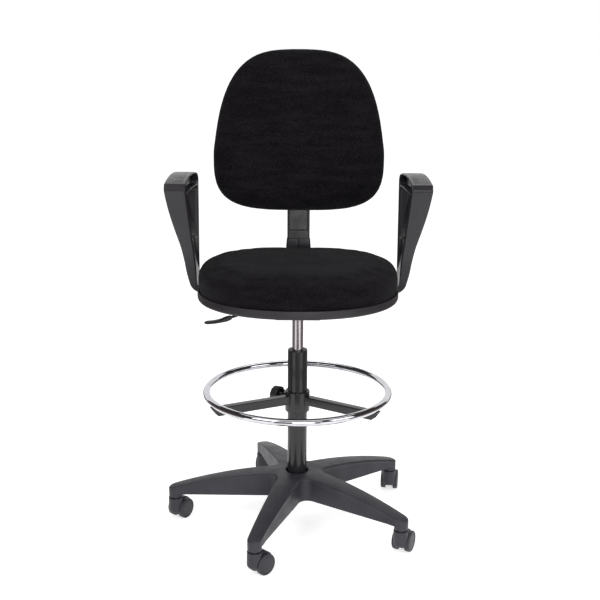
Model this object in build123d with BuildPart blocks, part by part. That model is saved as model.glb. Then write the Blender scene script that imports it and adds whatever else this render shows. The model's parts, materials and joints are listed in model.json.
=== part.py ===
from build123d import *
import os
from math import cos, degrees, radians, sin

os.makedirs("parts", exist_ok=True)

# Drafting chair on a five-star base. Millimetres, +Z up, the sitter faces -Y.
# The origin is on the floor, under the column's axis.

# Fits between pieces
RUN_GAP = 0.05  # radial play of a shaft in its bore, and of a piece in its socket
SIDE_GAP = 0.3  # play between faces that pass each other
ARC_TURN = 30  # degrees of a cushion's outline that one arc follows

# Casters
WHEEL_RADIUS = 26.5
WHEEL_WIDTH = 13
WHEEL_CHAMFER = 1
TREAD_ROUND = 4
AXLE_RADIUS = 4
STEM_RADIUS = 5.5
STEM_FLANGE_RADIUS = 9
STEM_DEPTH = 21  # how far the stem stands in the leg
CASTER_TRAIL = 20
CASTER_WEB = 20
WEB_RADIUS = WHEEL_RADIUS + 3
WEB_CLEAR = WHEEL_RADIUS - 9  # height under the web, between the wheels
HOOD_RADIUS = 18.5
HOOD_LOW = 20
HOOD_TOP = 2 * WHEEL_RADIUS + 8
HOOD_ROUND = 8
WHEEL_POCKET = 1.2
NECK_GAP = 4  # the dark line between hood and leg
TRAIL_ANGLES = (56, 45, 64, 80, 70)  # which way each caster trails

# Seat
SHELL_BOTTOM = 606  # height of the seat's underside, which everything above the column follows
SEAT_HALF_WIDTH = 250
SEAT_FRONT = 236
SEAT_REAR = 200
SEAT_FRONT_POWER = 2.2
SEAT_REAR_POWER = 3.0
SHELL_RIM = SHELL_BOTTOM + 22
SHELL_WALL = 3
SHELL_ROUND = 9
SHELL_TURNS = (0, 30, 60, 90)  # steps of the shell's rounded lower edge, in degrees
BOARD_THICKNESS = 13
CUSHION_TOP = SHELL_RIM + 72
CUSHION_SIDE = 26  # from the rim up to where the crown starts
PAD_TUCK = 4  # how far a cushion's edge draws in at its rim
CROWN_POWER = 2.7
CROWN_TURNS = (10, 25, 40, 55, 70, 90)  # steps of a cushion's crown, in degrees
CROWN_SIDE = 125
CROWN_FRONT = 150
CROWN_REAR = 105
BOLT_RADIUS = 3.5
BOLT_HEAD_RADIUS = 6.5
BOLT_HEAD_HEIGHT = 4
TEE_RADIUS = 5
TEE_FLANGE_RADIUS = 9
TEE_FLANGE = 1.5

# Mechanism under the seat
BOX_HALF_WIDTH = 55
BOX_FRONT = 36
BOX_REAR = 120
BOX_TOP = SHELL_BOTTOM - SIDE_GAP
BOX_LOW = SHELL_BOTTOM - 53
BOX_WALL = 3
FLANGE_WIDTH = 32
BOLT_SPREAD_X = BOX_HALF_WIDTH + FLANGE_WIDTH / 2
BOLT_FRONT_Y = -18
BOLT_REAR_Y = 95
LEVER_PIVOT_X = 15 - BOX_HALF_WIDTH
LEVER_HEIGHT = SHELL_BOTTOM - 9
LEVER_ROD_RADIUS = 3.5
LEVER_SLEEVE_RADIUS = 6
LEVER_SLEEVE_HALF = 12
LEVER_PIN_RADIUS = 3
LEVER_EAR = 3
LEVER_EAR_HALF = 8
LEVER_INNER_X = 8
LEVER_BEND_X = -BOX_HALF_WIDTH - 7
LEVER_DROP_X = LEVER_BEND_X - 98
LEVER_DROP_Z = LEVER_HEIGHT - 45
LEVER_TIP_X = LEVER_DROP_X - 76
LEVER_TIP_Z = LEVER_DROP_Z - 16
LEVER_ROD_END = 30
LEVER_BEND_RADIUS = 25
LEVER_SLOT_HALF = 6
LEVER_PRESS_GAP = 0.4
PADDLE_HALF_WIDTH = 13
PADDLE_THICKNESS = 6
PADDLE_HUB_RADIUS = 7
PADDLE_HUB_LENGTH = 40

# Column, guide and gas lift
COLUMN_RADIUS = 25
COLUMN_WALL = 2
BUSH_LENGTH = 80
BUSH_LIP = 3
COLUMN_TOP = BOX_LOW - BUSH_LIP - 85  # leaves room for the seat to come down
COLUMN_PLATE = 4
CYLINDER_RADIUS = 14
CYLINDER_WALL = 1.5
CYLINDER_TOP = BOX_LOW + 34
CYLINDER_LOW = CYLINDER_TOP - 352
CYLINDER_PLUG = 47
SOCKET_RADIUS = CYLINDER_RADIUS + 6
SEAL_HEIGHT = 12
ROD_RADIUS = 5
ROD_TAIL = 10
SHOULDER_RADIUS = 7.5
SHOULDER_HEIGHT = 4
PISTON_LOW = COLUMN_TOP - 93
PISTON_HEIGHT = 16
PISTON_PLAY = 0.1
RACE_RADIUS = 13
RACE_HEIGHT = 2
BALL_RADIUS = 2
BALL_CIRCLE = 9.5
BALL_COUNT = 10
CLIP_RADIUS = 9
CLIP_HEIGHT = 1.5
BUMPER_RADIUS = 12
BUMPER_HEIGHT = 20
VALVE_RADIUS = 3
VALVE_DEPTH = 27

# Five-star base, which stands on the casters' necks
BOSS_LOW = HOOD_TOP + NECK_GAP
LEG_COUNT = 5
LEG_FIRST_ANGLE = 180
STEM_CIRCLE = 318
BOSS_RADIUS = 17.5
HUB_RADIUS = COLUMN_RADIUS + 25
LEG_CREST = HUB_RADIUS + 10  # radius where the leg's arch starts
HUB_BOTTOM = BOSS_LOW + 13
HUB_TOP = HUB_BOTTOM + 63
HUB_MOUTH_RADIUS = COLUMN_RADIUS + 5
HUB_MOUTH_DEPTH = 12
HUB_LEDGE = 6
LEG_ROOT_WIDTH = 1.2 * HUB_RADIUS  # so that neighbouring legs meet just outside the hub
LEG_UNDER_ROOT = BOSS_LOW + 15
LEG_UNDER_TIP = BOSS_LOW + 9
LEG_TOP_MID = HUB_TOP - 16
LEG_TOP_TIP = BOSS_LOW + 27
LEG_EDGE = 5
LEG_WALL = 5
LEG_RIB = 4
LEG_POCKETS = 3
LEG_VALLEY = 10
CREST_RUN = 0.5  # least share of a crest edge's direction that points outwards

# Foot ring
RING_RADIUS = 231.5
RING_TUBE_RADIUS = 9
RING_TUBE_WALL = 1.5
RING_JOINT = 0.08
RING_HEIGHT = 357
RING_FIRST_ANGLE = 87
SPOKE_COUNT = 3
SPOKE_SIZE = 22
SPOKE_WALL = 1.5
SPOKE_REACH = 8  # how far the spoke's top passes the ring's centre line
SPOKE_SLANT = 17  # how much shorter its underside is
SCREW_RADIUS = 2.5
SCREW_HEAD_RADIUS = 4.5
SCREW_HEAD_HEIGHT = 3
SCREW_BITE = 8
COLLAR_BORE = COLUMN_RADIUS + 2
COLLAR_RADIUS = COLLAR_BORE + 4.5
COLLAR_TOP = RING_HEIGHT + 1.5
COLLAR_LOW = COLLAR_TOP - 53
COLLAR_LIP = 5
COLLAR_LIP_RADIUS = COLUMN_RADIUS + 1.2
SLEEVE_PLAY = 0.1
CLAMP_ANGLE = 147
CLAMP_HEIGHT = COLLAR_TOP - 24
CLAMP_NUT_RADIUS = 10
CLAMP_NUT_REACH = COLLAR_RADIUS + 11
STUD_RADIUS = 4
STUD_CLEAR = 0.5
KNOB_RADIUS = 23
KNOB_NEAR = CLAMP_NUT_REACH + 10
KNOB_FAR = KNOB_NEAR + 20
KNOB_WALL = 4
KNOB_HUB_RADIUS = 9
KNOB_LOBES = 10
KNOB_FLUTE_RADIUS = 4
KNOB_FLUTE_CIRCLE = KNOB_RADIUS + 2

# Back support
TILT_PIVOT_Y = 80
TILT_PIVOT_Z = BOX_LOW + 22
TILT_PIN_RADIUS = 6
TILT_PIN_HEAD = TILT_PIN_RADIUS + 3
TILT_EYE_RADIUS = TILT_PIN_RADIUS + 5
TILT_EYE_HALF = 26
UPRIGHT_Y = SEAT_REAR + 22
UPRIGHT_Z = SHELL_BOTTOM + 104
RECLINE = 5
BAR_WIDTH = 40
BAR_THICKNESS = 8
BAR_BEND = 22
BAR_TOP = 240
UPPER_WIDTH = BAR_WIDTH + 20
UPPER_DEPTH = 32
UPPER_WALL = 2.5
UPPER_LOW = -85
UPPER_TOP = 292
UPPER_ROUND = 4
BAR_DEPTH = UPPER_DEPTH / 2  # from the upper cover's front face to the bar's middle
PANEL_HALF_WIDTH = UPPER_WIDTH / 2 - 5
PANEL_LOW = 21
PANEL_HIGH = 66
PANEL_DEPTH = 1.2
SLIDER_LOW = 60
SLIDER_HIGH = 165
LOWER_WALL = 2.6
LOWER_LOW = -158
LOWER_FILL = -96  # below this the lower cover closes on the bar
COVER_PLAY = 0.4

# Backrest, measured along the upright from the joint line
BACK_HALF_WIDTH = 223
BACK_WAIST = 231
BACK_RISE = 262
BACK_DROP = 152
BACK_RISE_POWER = 3.2
BACK_DROP_POWER = 3.6
BACK_TAPER = 0.15  # share of its width that the outline loses at the top
BACK_SHELL_DEPTH = 26
BACK_SHELL_WALL = 3
BACK_BOARD_THICKNESS = 10
BACK_BOARD_INSET = 21
BACK_RIM_INSET = 7
# The shell's rounded rear: shares of its depth, and how far the outline is drawn in at each
BACK_ROUNDING = ((0, 62), (0.2, 32), (0.5, 15), (1, BACK_RIM_INSET))
BACK_PAD_DEPTH = BACK_SHELL_DEPTH + 58
BACK_PAD_SIDE = 20
BACK_CROWN = 100
BACK_SCREW_ROWS = (195, 232, 270)
BACK_SCREW_SPREAD = 15
BACK_SCREW_RADIUS = 2.5

# Arms, measured across and along from a line beside the seat, and up from the floor
ARM_X = SEAT_HALF_WIDTH + 12
ARM_TOE = 1.5
ARM_TOP_WIDTH = 51.5
# The outer edge seen from the front, across and up, from the pad down to where it runs in under the seat
ARM_SHOULDER = (48, SHELL_BOTTOM + 220)
ARM_BULGE_END = (41, SHELL_BOTTOM + 169)
ARM_HOLLOW = (33, SHELL_BOTTOM + 121)
ARM_WAIST = (28.5, SHELL_BOTTOM + 74)
ARM_HEEL = (21, SHELL_BOTTOM + 16)
ARM_HEEL_END = -20
ARM_BEND = (12, 22)  # inner corner over the tongue, cut off across and up
ARM_TOP = SHELL_BOTTOM + 305
ARM_CROWN_Y = 10
ARM_FRONT = -112
ARM_REAR = 152
ARM_FRONT_TOP = ARM_TOP - 16
ARM_REAR_TOP = ARM_TOP - 27
ARM_NOSE = (10, 8)  # how far the pad's front edge is bevelled, along and up
ARM_TAIL = (16, 13)
ARM_FOOT_Y = 112
ARM_FOOT_HALF = 32
ARM_NECK = SHELL_BOTTOM + 54
ARM_LOW = SHELL_BOTTOM - 12
ARM_TONGUE = 105
ARM_LOOP_FRONT = -70
ARM_LOOP_REAR = 126
ARM_LOOP_TOP = ARM_TOP - 35
ARM_LOOP_SLOPE = 8
ARM_LOOP_TIP = (100, SHELL_BOTTOM + 129)
ARM_BOLT_U = -72
ARM_BOLT_SPREAD = 20


def save(builder, node):
    """Label a finished piece and write it as its own file."""
    builder.part.label = node
    export_step(builder.part, f"parts/{node}.step")


def polar(radius, angle, height=0):
    """Point at a radius and an angle around the column."""
    return Vector(radius * cos(radians(angle)), radius * sin(radians(angle)), height)


def egg(plane, half_width, rise, drop, rise_power, drop_power, taper=0):
    """Face on a plane whose quarters follow |x/a|^n + |y/b|^n = 1 and narrow upwards, as arcs through it."""

    def quarter_point(turn):
        up = sin(radians(turn)) >= 0
        reach, power = (rise, rise_power) if up else (drop, drop_power)
        across, along = cos(radians(turn)), sin(radians(turn))
        x = half_width * abs(across) ** (2 / power)
        share = abs(along) ** (2 / power)
        x *= 1 - taper * share if up else 1
        y = reach * share
        return (x if across >= 0 else -x, y if up else -y)

    with BuildSketch(plane) as outline:
        with BuildLine():
            for turn in range(-ARC_TURN // 2, 360 - ARC_TURN // 2, ARC_TURN):
                ThreePointArc(*(quarter_point(turn + step) for step in (0, ARC_TURN / 2, ARC_TURN)))
        make_face()
    return outline.sketch


def tube(plane, outer, inner, length):
    """Add a round tube that starts on a plane to the current part."""
    with BuildSketch(plane) as ring:
        Circle(outer)
        Circle(inner, mode=Mode.SUBTRACT)
    extrude(ring.sketch, amount=length)


def rod(plane, radius, length, mode=Mode.ADD):
    """Add a round bar that starts on a plane to the current part, or cut it out."""
    with BuildSketch(plane) as disc:
        Circle(radius)
    extrude(disc.sketch, amount=length, mode=mode)


def level(height, x=0, y=0):
    """Horizontal plane at a height."""
    return Plane(origin=(x, y, height))


# Derived heights and places
stem_top = BOSS_LOW + STEM_DEPTH
column_low = HUB_BOTTOM + HUB_LEDGE
plate_top = column_low + COLUMN_PLATE
ball_level = plate_top + RACE_HEIGHT + RUN_GAP
upper_race_low = ball_level + 2 * BALL_RADIUS + RUN_GAP
shoulder_low = upper_race_low + RACE_HEIGHT
bumper_low = shoulder_low + SHOULDER_HEIGHT
board_low = SHELL_BOTTOM + SHELL_WALL
board_top = board_low + BOARD_THICKNESS
pad_low = SHELL_RIM + SIDE_GAP
lean = radians(RECLINE)
leg_angles = [LEG_FIRST_ANGLE + 360 / LEG_COUNT * k for k in range(LEG_COUNT)]
# How far a cushion's crown has rolled in, and risen, at steps of a rounded quarter turn
crown_steps = [(1 - cos(radians(t)) ** (2 / CROWN_POWER), sin(radians(t)) ** (2 / CROWN_POWER))
               for t in CROWN_TURNS]
spoke_angles = [RING_FIRST_ANGLE + 360 / SPOKE_COUNT * k for k in range(SPOKE_COUNT)]


# Casters: hood, pins and two wheels each
for number, (leg_angle, trail_angle) in enumerate(zip(leg_angles, TRAIL_ANGLES), 1):
    foot = polar(STEM_CIRCLE, leg_angle)
    trail = polar(1, trail_angle)
    axle = trail.cross(Vector(0, 0, 1))
    upright_web = Plane(origin=foot, x_dir=trail, z_dir=axle)
    axle_centre = foot + trail * CASTER_TRAIL + Vector(0, 0, WHEEL_RADIUS)
    axle_plane = Plane(origin=axle_centre, x_dir=trail, z_dir=axle)
    axle_half = CASTER_WEB / 2 + SIDE_GAP + WHEEL_WIDTH - TREAD_ROUND

    with BuildPart() as caster_hood:
        rod(level(HOOD_LOW, foot.X, foot.Y), HOOD_RADIUS, HOOD_TOP - HOOD_LOW)
        fillet(caster_hood.edges().group_by(Axis.Z)[0], HOOD_ROUND)
        with BuildSketch(upright_web):
            with Locations((CASTER_TRAIL, WHEEL_RADIUS)):
                Circle(WEB_RADIUS)
            with Locations((0, WEB_CLEAR)):
                web_height = HOOD_TOP - WEB_CLEAR - HOOD_ROUND
                Rectangle(CASTER_TRAIL, web_height, align=(Align.MIN, Align.MIN))
            with Locations((CASTER_TRAIL, WEB_CLEAR)):
                Rectangle(3 * WEB_RADIUS, 3 * WEB_RADIUS, align=(Align.CENTER, Align.MAX),
                          mode=Mode.SUBTRACT)
        extrude(amount=CASTER_WEB / 2, both=True)
        for side in (1, -1):
            pocket = axle_plane.offset(side * CASTER_WEB / 2)
            rod(pocket, WHEEL_RADIUS + WHEEL_POCKET, side * HOOD_RADIUS, Mode.SUBTRACT)
        rod(axle_plane.offset(-CASTER_WEB), AXLE_RADIUS + RUN_GAP, 2 * CASTER_WEB, Mode.SUBTRACT)
        stem_socket = level(WEB_CLEAR + HOOD_ROUND, foot.X, foot.Y)
        rod(stem_socket, STEM_RADIUS + RUN_GAP, HOOD_TOP, Mode.SUBTRACT)
    save(caster_hood, f"caster_hood_{number}")

    with BuildPart() as caster_pins:
        stem_low = WEB_CLEAR + HOOD_ROUND + RUN_GAP
        rod(level(stem_low, foot.X, foot.Y), STEM_RADIUS, stem_top - stem_low)
        rod(level(HOOD_TOP, foot.X, foot.Y), STEM_FLANGE_RADIUS, NECK_GAP - SIDE_GAP)
        rod(axle_plane.offset(-axle_half), AXLE_RADIUS, 2 * axle_half)
    save(caster_pins, f"caster_pins_{number}")

    for side, hand in ((1, "left"), (-1, "right")):
        outward = axle * side
        turning = Plane(origin=axle_centre, x_dir=outward, z_dir=outward.cross(Vector(0, 0, 1)))
        near = CASTER_WEB / 2 + SIDE_GAP
        far = near + WHEEL_WIDTH
        bore = AXLE_RADIUS + RUN_GAP
        with BuildPart() as caster_wheel:
            with BuildSketch(turning):
                with BuildLine():
                    Polyline((near, bore), (near, WHEEL_RADIUS - WHEEL_CHAMFER),
                             (near + WHEEL_CHAMFER, WHEEL_RADIUS), (far - TREAD_ROUND, WHEEL_RADIUS))
                    RadiusArc((far - TREAD_ROUND, WHEEL_RADIUS), (far, WHEEL_RADIUS - TREAD_ROUND),
                              TREAD_ROUND)
                    Polyline((far, WHEEL_RADIUS - TREAD_ROUND), (far, 0), (axle_half + SIDE_GAP, 0),
                             (axle_half + SIDE_GAP, bore), (near, bore))
                make_face()
            revolve(axis=Axis(axle_centre, outward))
        save(caster_wheel, f"caster_wheel_{hand}_{number}")

# Five-star base: one moulded leg, repeated around the hub
leg_tip = STEM_CIRCLE + BOSS_RADIUS
leg_half = LEG_ROOT_WIDTH / 2


def is_crest(edge):
    """True for the leg's two long top edges, which run outwards from the hub."""
    middle = edge.center()
    outwards = abs(edge.tangent_at(0.5).X) > CREST_RUN
    return outwards and middle.X > LEG_CREST and middle.Z > LEG_UNDER_ROOT + LEG_EDGE


with BuildPart() as leg:
    with BuildSketch(Plane.XZ):
        with BuildLine():
            arch_middle = ((LEG_CREST + leg_tip) / 2, LEG_TOP_MID)
            ThreePointArc((leg_tip, LEG_TOP_TIP), arch_middle, (LEG_CREST, HUB_TOP))
            Polyline((LEG_CREST, HUB_TOP), (0, HUB_TOP), (0, LEG_UNDER_ROOT), (leg_tip, LEG_UNDER_TIP),
                     (leg_tip, LEG_TOP_TIP))
        make_face()
    extrude(amount=LEG_ROOT_WIDTH, both=True)
    with BuildSketch(Plane.XY):
        with BuildLine():
            Polyline((STEM_CIRCLE, BOSS_RADIUS), (LEG_CREST, leg_half), (0, leg_half), (0, -leg_half),
                     (LEG_CREST, -leg_half), (STEM_CIRCLE, -BOSS_RADIUS))
            ThreePointArc((STEM_CIRCLE, -BOSS_RADIUS), (leg_tip, 0), (STEM_CIRCLE, BOSS_RADIUS))
        make_face()
    extrude(amount=2 * HUB_TOP, mode=Mode.INTERSECT)
    fillet(leg.edges().filter_by(is_crest), LEG_EDGE)
    pocket_start = LEG_CREST + LEG_WALL
    pocket_step = (STEM_CIRCLE - BOSS_RADIUS - pocket_start) / LEG_POCKETS
    for k in range(LEG_POCKETS):
        inner = pocket_start + k * pocket_step
        outer = inner + pocket_step - LEG_RIB
        share = (outer - LEG_CREST) / (STEM_CIRCLE - LEG_CREST)
        pocket_half = leg_half + (BOSS_RADIUS - leg_half) * share - LEG_WALL
        roof = HUB_TOP + (LEG_TOP_TIP - HUB_TOP) * share - LEG_WALL
        with BuildSketch(level(LEG_UNDER_TIP - LEG_WALL)):
            with Locations(((inner + outer) / 2, 0)):
                Rectangle(outer - inner, 2 * pocket_half)
        extrude(amount=roof - LEG_UNDER_TIP + LEG_WALL, mode=Mode.SUBTRACT)
    rod(level(BOSS_LOW, STEM_CIRCLE), BOSS_RADIUS, LEG_UNDER_ROOT - BOSS_LOW)
    rod(level(BOSS_LOW, STEM_CIRCLE), STEM_RADIUS + RUN_GAP, STEM_DEPTH + RUN_GAP, Mode.SUBTRACT)


def is_valley(edge):
    """True for the upright corners where two legs meet at the hub."""
    middle = edge.center()
    return COLUMN_RADIUS < Vector(middle.X, middle.Y).length < LEG_CREST


with BuildPart() as five_star_base:
    rod(level(HUB_BOTTOM), HUB_RADIUS, HUB_TOP - HUB_BOTTOM)
    with PolarLocations(0, LEG_COUNT, LEG_FIRST_ANGLE):
        add(leg.part)
    upright_edges = five_star_base.edges().filter_by(Axis.Z)
    fillet(upright_edges.filter_by(is_valley), LEG_VALLEY)
    rod(level(HUB_BOTTOM), COLUMN_RADIUS - COLUMN_WALL, HUB_TOP, Mode.SUBTRACT)
    rod(level(column_low), COLUMN_RADIUS + RUN_GAP, HUB_TOP, Mode.SUBTRACT)
    rod(level(HUB_TOP - HUB_MOUTH_DEPTH), HUB_MOUTH_RADIUS, HUB_MOUTH_DEPTH, Mode.SUBTRACT)
save(five_star_base, "five_star_base")

# Column tube with its floor plate, and the guide bush at its mouth
with BuildPart() as column_tube:
    tube(level(column_low), COLUMN_RADIUS, COLUMN_RADIUS - COLUMN_WALL, COLUMN_TOP - column_low)
    tube(level(column_low), COLUMN_RADIUS, ROD_RADIUS + RUN_GAP, COLUMN_PLATE)
save(column_tube, "column_tube")

with BuildPart() as guide_bush:
    bush_low = COLUMN_TOP - BUSH_LENGTH
    bush_bore = CYLINDER_RADIUS + RUN_GAP
    tube(level(bush_low), COLUMN_RADIUS - COLUMN_WALL - RUN_GAP, bush_bore, BUSH_LENGTH + BUSH_LIP)
    tube(level(COLUMN_TOP), COLUMN_RADIUS, bush_bore, BUSH_LIP)
    fillet(guide_bush.edges().group_by(Axis.Z)[-1].sort_by(SortBy.RADIUS)[-1], BUSH_LIP / 2)
save(guide_bush, "guide_bush")

# Thrust bearing that carries the piston rod: a race and its balls, which stay in the column
with BuildPart() as thrust_bearing:
    tube(level(plate_top), RACE_RADIUS, ROD_RADIUS + SIDE_GAP, RACE_HEIGHT)
    with Locations((0, 0, ball_level + BALL_RADIUS)):
        with PolarLocations(BALL_CIRCLE, BALL_COUNT):
            Sphere(BALL_RADIUS)
save(thrust_bearing, "thrust_bearing")

# Piston rod and what sits on it
with BuildPart() as piston_rod:
    rod(level(column_low - ROD_TAIL), ROD_RADIUS, PISTON_LOW + PISTON_HEIGHT - column_low + ROD_TAIL)
    rod(level(shoulder_low), SHOULDER_RADIUS, SHOULDER_HEIGHT)
save(piston_rod, "piston_rod")

# The race that turns with the rod, and the clip that keeps the rod in the column
with BuildPart() as rod_washers:
    clip_low = column_low - SIDE_GAP - CLIP_HEIGHT
    tube(level(upper_race_low), RACE_RADIUS, ROD_RADIUS + RUN_GAP, RACE_HEIGHT)
    tube(level(clip_low), CLIP_RADIUS, ROD_RADIUS + RUN_GAP, CLIP_HEIGHT)
save(rod_washers, "rod_washers")

with BuildPart() as rod_bumper:
    tube(level(bumper_low), BUMPER_RADIUS, ROD_RADIUS + RUN_GAP, BUMPER_HEIGHT)
save(rod_bumper, "rod_bumper")

cylinder_bore = CYLINDER_RADIUS - CYLINDER_WALL
with BuildPart() as piston:
    tube(level(PISTON_LOW), cylinder_bore - PISTON_PLAY, ROD_RADIUS + RUN_GAP, PISTON_HEIGHT)
save(piston, "piston")

# Chromed gas cylinder, its lower seal and its valve pin
with BuildPart() as gas_cylinder:
    tube(level(CYLINDER_LOW), CYLINDER_RADIUS, cylinder_bore, CYLINDER_TOP - CYLINDER_LOW)
    tube(level(CYLINDER_TOP - CYLINDER_PLUG), CYLINDER_RADIUS, VALVE_RADIUS + RUN_GAP, CYLINDER_PLUG)
save(gas_cylinder, "gas_cylinder")

with BuildPart() as rod_seal:
    tube(level(CYLINDER_LOW), cylinder_bore - RUN_GAP, ROD_RADIUS + RUN_GAP, SEAL_HEIGHT)
save(rod_seal, "rod_seal")

valve_low = CYLINDER_TOP - VALVE_DEPTH
valve_high = LEVER_HEIGHT - LEVER_ROD_RADIUS - LEVER_PRESS_GAP
with BuildPart() as valve_pin:
    rod(level(valve_low), VALVE_RADIUS, valve_high - valve_low)
save(valve_pin, "valve_pin")

# Foot ring on three spokes
spoke_top = RING_HEIGHT - RING_TUBE_RADIUS - SIDE_GAP / 2
spoke_low = spoke_top - SPOKE_SIZE
spoke_end = RING_RADIUS + SPOKE_REACH
screw_places = [polar(RING_RADIUS, angle) for angle in spoke_angles]

# The ring is one bent tube with a hairline butt joint between two spokes
joint_side = polar(1, RING_FIRST_ANGLE + 180 / SPOKE_COUNT)
with BuildPart() as foot_ring_tube:
    ring_joint = Plane(origin=(0, 0, RING_HEIGHT), x_dir=joint_side, z_dir=joint_side.cross(Vector(0, 0, 1)))
    with BuildSketch(ring_joint):
        with Locations((RING_RADIUS, 0)):
            Circle(RING_TUBE_RADIUS)
            Circle(RING_TUBE_RADIUS - RING_TUBE_WALL, mode=Mode.SUBTRACT)
    revolve(axis=Axis.Z, revolution_arc=360 - degrees(RING_JOINT / RING_RADIUS))
    for place in screw_places:
        rod(level(RING_HEIGHT - 2 * RING_TUBE_RADIUS, place.X, place.Y), SCREW_RADIUS + RUN_GAP,
            RING_TUBE_RADIUS + SCREW_BITE + RUN_GAP, Mode.SUBTRACT)
save(foot_ring_tube, "foot_ring_tube")

with BuildPart() as ring_spokes:
    for angle in spoke_angles:
        along = polar(1, angle)
        sideways = along.cross(Vector(0, 0, 1))
        with BuildSketch(Plane(origin=(0, 0, 0), x_dir=along, z_dir=sideways)):
            with BuildLine():
                Polyline((COLLAR_BORE, spoke_low), (spoke_end - SPOKE_SLANT, spoke_low),
                         (spoke_end, spoke_top), (COLLAR_BORE, spoke_top), close=True)
            make_face()
        extrude(amount=SPOKE_SIZE / 2, both=True)
        hollow = Plane(origin=(0, 0, (spoke_low + spoke_top) / 2), x_dir=sideways, z_dir=along)
        with BuildSketch(hollow):
            Rectangle(SPOKE_SIZE - 2 * SPOKE_WALL, SPOKE_SIZE - 2 * SPOKE_WALL)
        extrude(amount=2 * RING_RADIUS, mode=Mode.SUBTRACT)
    rod(level(spoke_low), COLLAR_RADIUS + RUN_GAP, SPOKE_SIZE, Mode.SUBTRACT)
    for place in screw_places:
        rod(level(spoke_low, place.X, place.Y), SCREW_RADIUS + RUN_GAP, SPOKE_SIZE, Mode.SUBTRACT)
save(ring_spokes, "ring_spokes")

with BuildPart() as ring_screws:
    head_top = spoke_top - SPOKE_WALL
    screw_end = RING_HEIGHT - RING_TUBE_RADIUS + SCREW_BITE
    for place in screw_places:
        rod(level(head_top - SCREW_HEAD_HEIGHT, place.X, place.Y), SCREW_HEAD_RADIUS, SCREW_HEAD_HEIGHT)
        rod(level(head_top, place.X, place.Y), SCREW_RADIUS, screw_end - head_top)
save(ring_screws, "ring_screws")

# Collar that slides on the column, its plastic sleeve and the clamp
clamp_axis = polar(1, CLAMP_ANGLE)
clamp = Plane(origin=(0, 0, CLAMP_HEIGHT), x_dir=(0, 0, 1), z_dir=clamp_axis)

with BuildPart() as ring_collar:
    tube(level(COLLAR_LOW), COLLAR_RADIUS, COLLAR_BORE, COLLAR_TOP - COLLAR_LOW)
    rod(clamp, STUD_RADIUS + RUN_GAP, 2 * COLLAR_RADIUS, Mode.SUBTRACT)
    top_edge = ring_collar.edges().group_by(Axis.Z)[-1].sort_by(SortBy.RADIUS)[-1]
    fillet(top_edge, (COLLAR_RADIUS - COLLAR_BORE) / 2)
save(ring_collar, "ring_collar")

with BuildPart() as collar_sleeve:
    sleeve_bore = COLUMN_RADIUS + SLEEVE_PLAY
    tube(level(COLLAR_LOW), COLLAR_BORE - RUN_GAP, sleeve_bore, COLLAR_TOP - COLLAR_LOW)
    tube(level(COLLAR_LOW - COLLAR_LIP), COLLAR_LIP_RADIUS, sleeve_bore, COLLAR_LIP)
    rod(clamp, STUD_RADIUS + RUN_GAP, 2 * COLLAR_RADIUS, Mode.SUBTRACT)
save(collar_sleeve, "collar_sleeve")

with BuildPart() as clamp_nut:
    tube(clamp.offset(COLLAR_BORE), CLAMP_NUT_RADIUS, STUD_RADIUS + RUN_GAP, CLAMP_NUT_REACH - COLLAR_BORE)
    rod(level(COLLAR_LOW), COLLAR_RADIUS + RUN_GAP, COLLAR_TOP - COLLAR_LOW, Mode.SUBTRACT)
save(clamp_nut, "clamp_nut")

stud_near = COLUMN_RADIUS + STUD_CLEAR
stud_far = KNOB_FAR - KNOB_WALL

# The knob and the stud that turns with it
with BuildPart() as clamp_knob:
    with BuildSketch(clamp.offset(KNOB_NEAR)):
        Circle(KNOB_RADIUS)
        with PolarLocations(KNOB_FLUTE_CIRCLE, KNOB_LOBES):
            Circle(KNOB_FLUTE_RADIUS, mode=Mode.SUBTRACT)
    extrude(amount=KNOB_FAR - KNOB_NEAR)
    with BuildSketch(clamp.offset(KNOB_NEAR)):
        Circle(KNOB_FLUTE_CIRCLE - KNOB_FLUTE_RADIUS - KNOB_WALL)
        Circle(KNOB_HUB_RADIUS, mode=Mode.SUBTRACT)
    extrude(amount=KNOB_FAR - KNOB_NEAR - KNOB_WALL, mode=Mode.SUBTRACT)
    rod(clamp.offset(KNOB_NEAR), STUD_RADIUS + RUN_GAP, stud_far - KNOB_NEAR + RUN_GAP, Mode.SUBTRACT)
    rod(clamp.offset(stud_near), STUD_RADIUS, stud_far - stud_near)
save(clamp_knob, "clamp_knob")

# Seat: plastic shell, plywood board and cushion, all on one outline


def seat_outline(height, side, front, rear):
    """Seat outline at a height, drawn in by an amount at the sides, the front and the rear."""
    return egg(level(height), SEAT_HALF_WIDTH - side, SEAT_REAR - rear, SEAT_FRONT - front,
               SEAT_REAR_POWER, SEAT_FRONT_POWER)


arm_frame = Plane(origin=(ARM_X, 0, 0), x_dir=polar(1, ARM_TOE), z_dir=(0, 0, 1))
seat_bolt_places = [Vector(x, y) for x in (-BOLT_SPREAD_X, BOLT_SPREAD_X)
                    for y in (BOLT_FRONT_Y, BOLT_REAR_Y)]
right_arm_bolts = [arm_frame.from_local_coords(Vector(ARM_BOLT_U, w))
                   for w in (ARM_FOOT_Y - ARM_BOLT_SPREAD, ARM_FOOT_Y + ARM_BOLT_SPREAD)]
arm_bolt_places = right_arm_bolts + [Vector(-place.X, place.Y) for place in right_arm_bolts]
bolt_places = seat_bolt_places + arm_bolt_places


def bolt_holes(low, radius, depth):
    """Cut the holes for all the seat and arm bolts out of the current part."""
    for place in bolt_places:
        rod(level(low, place.X, place.Y), radius, depth, Mode.SUBTRACT)


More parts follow.
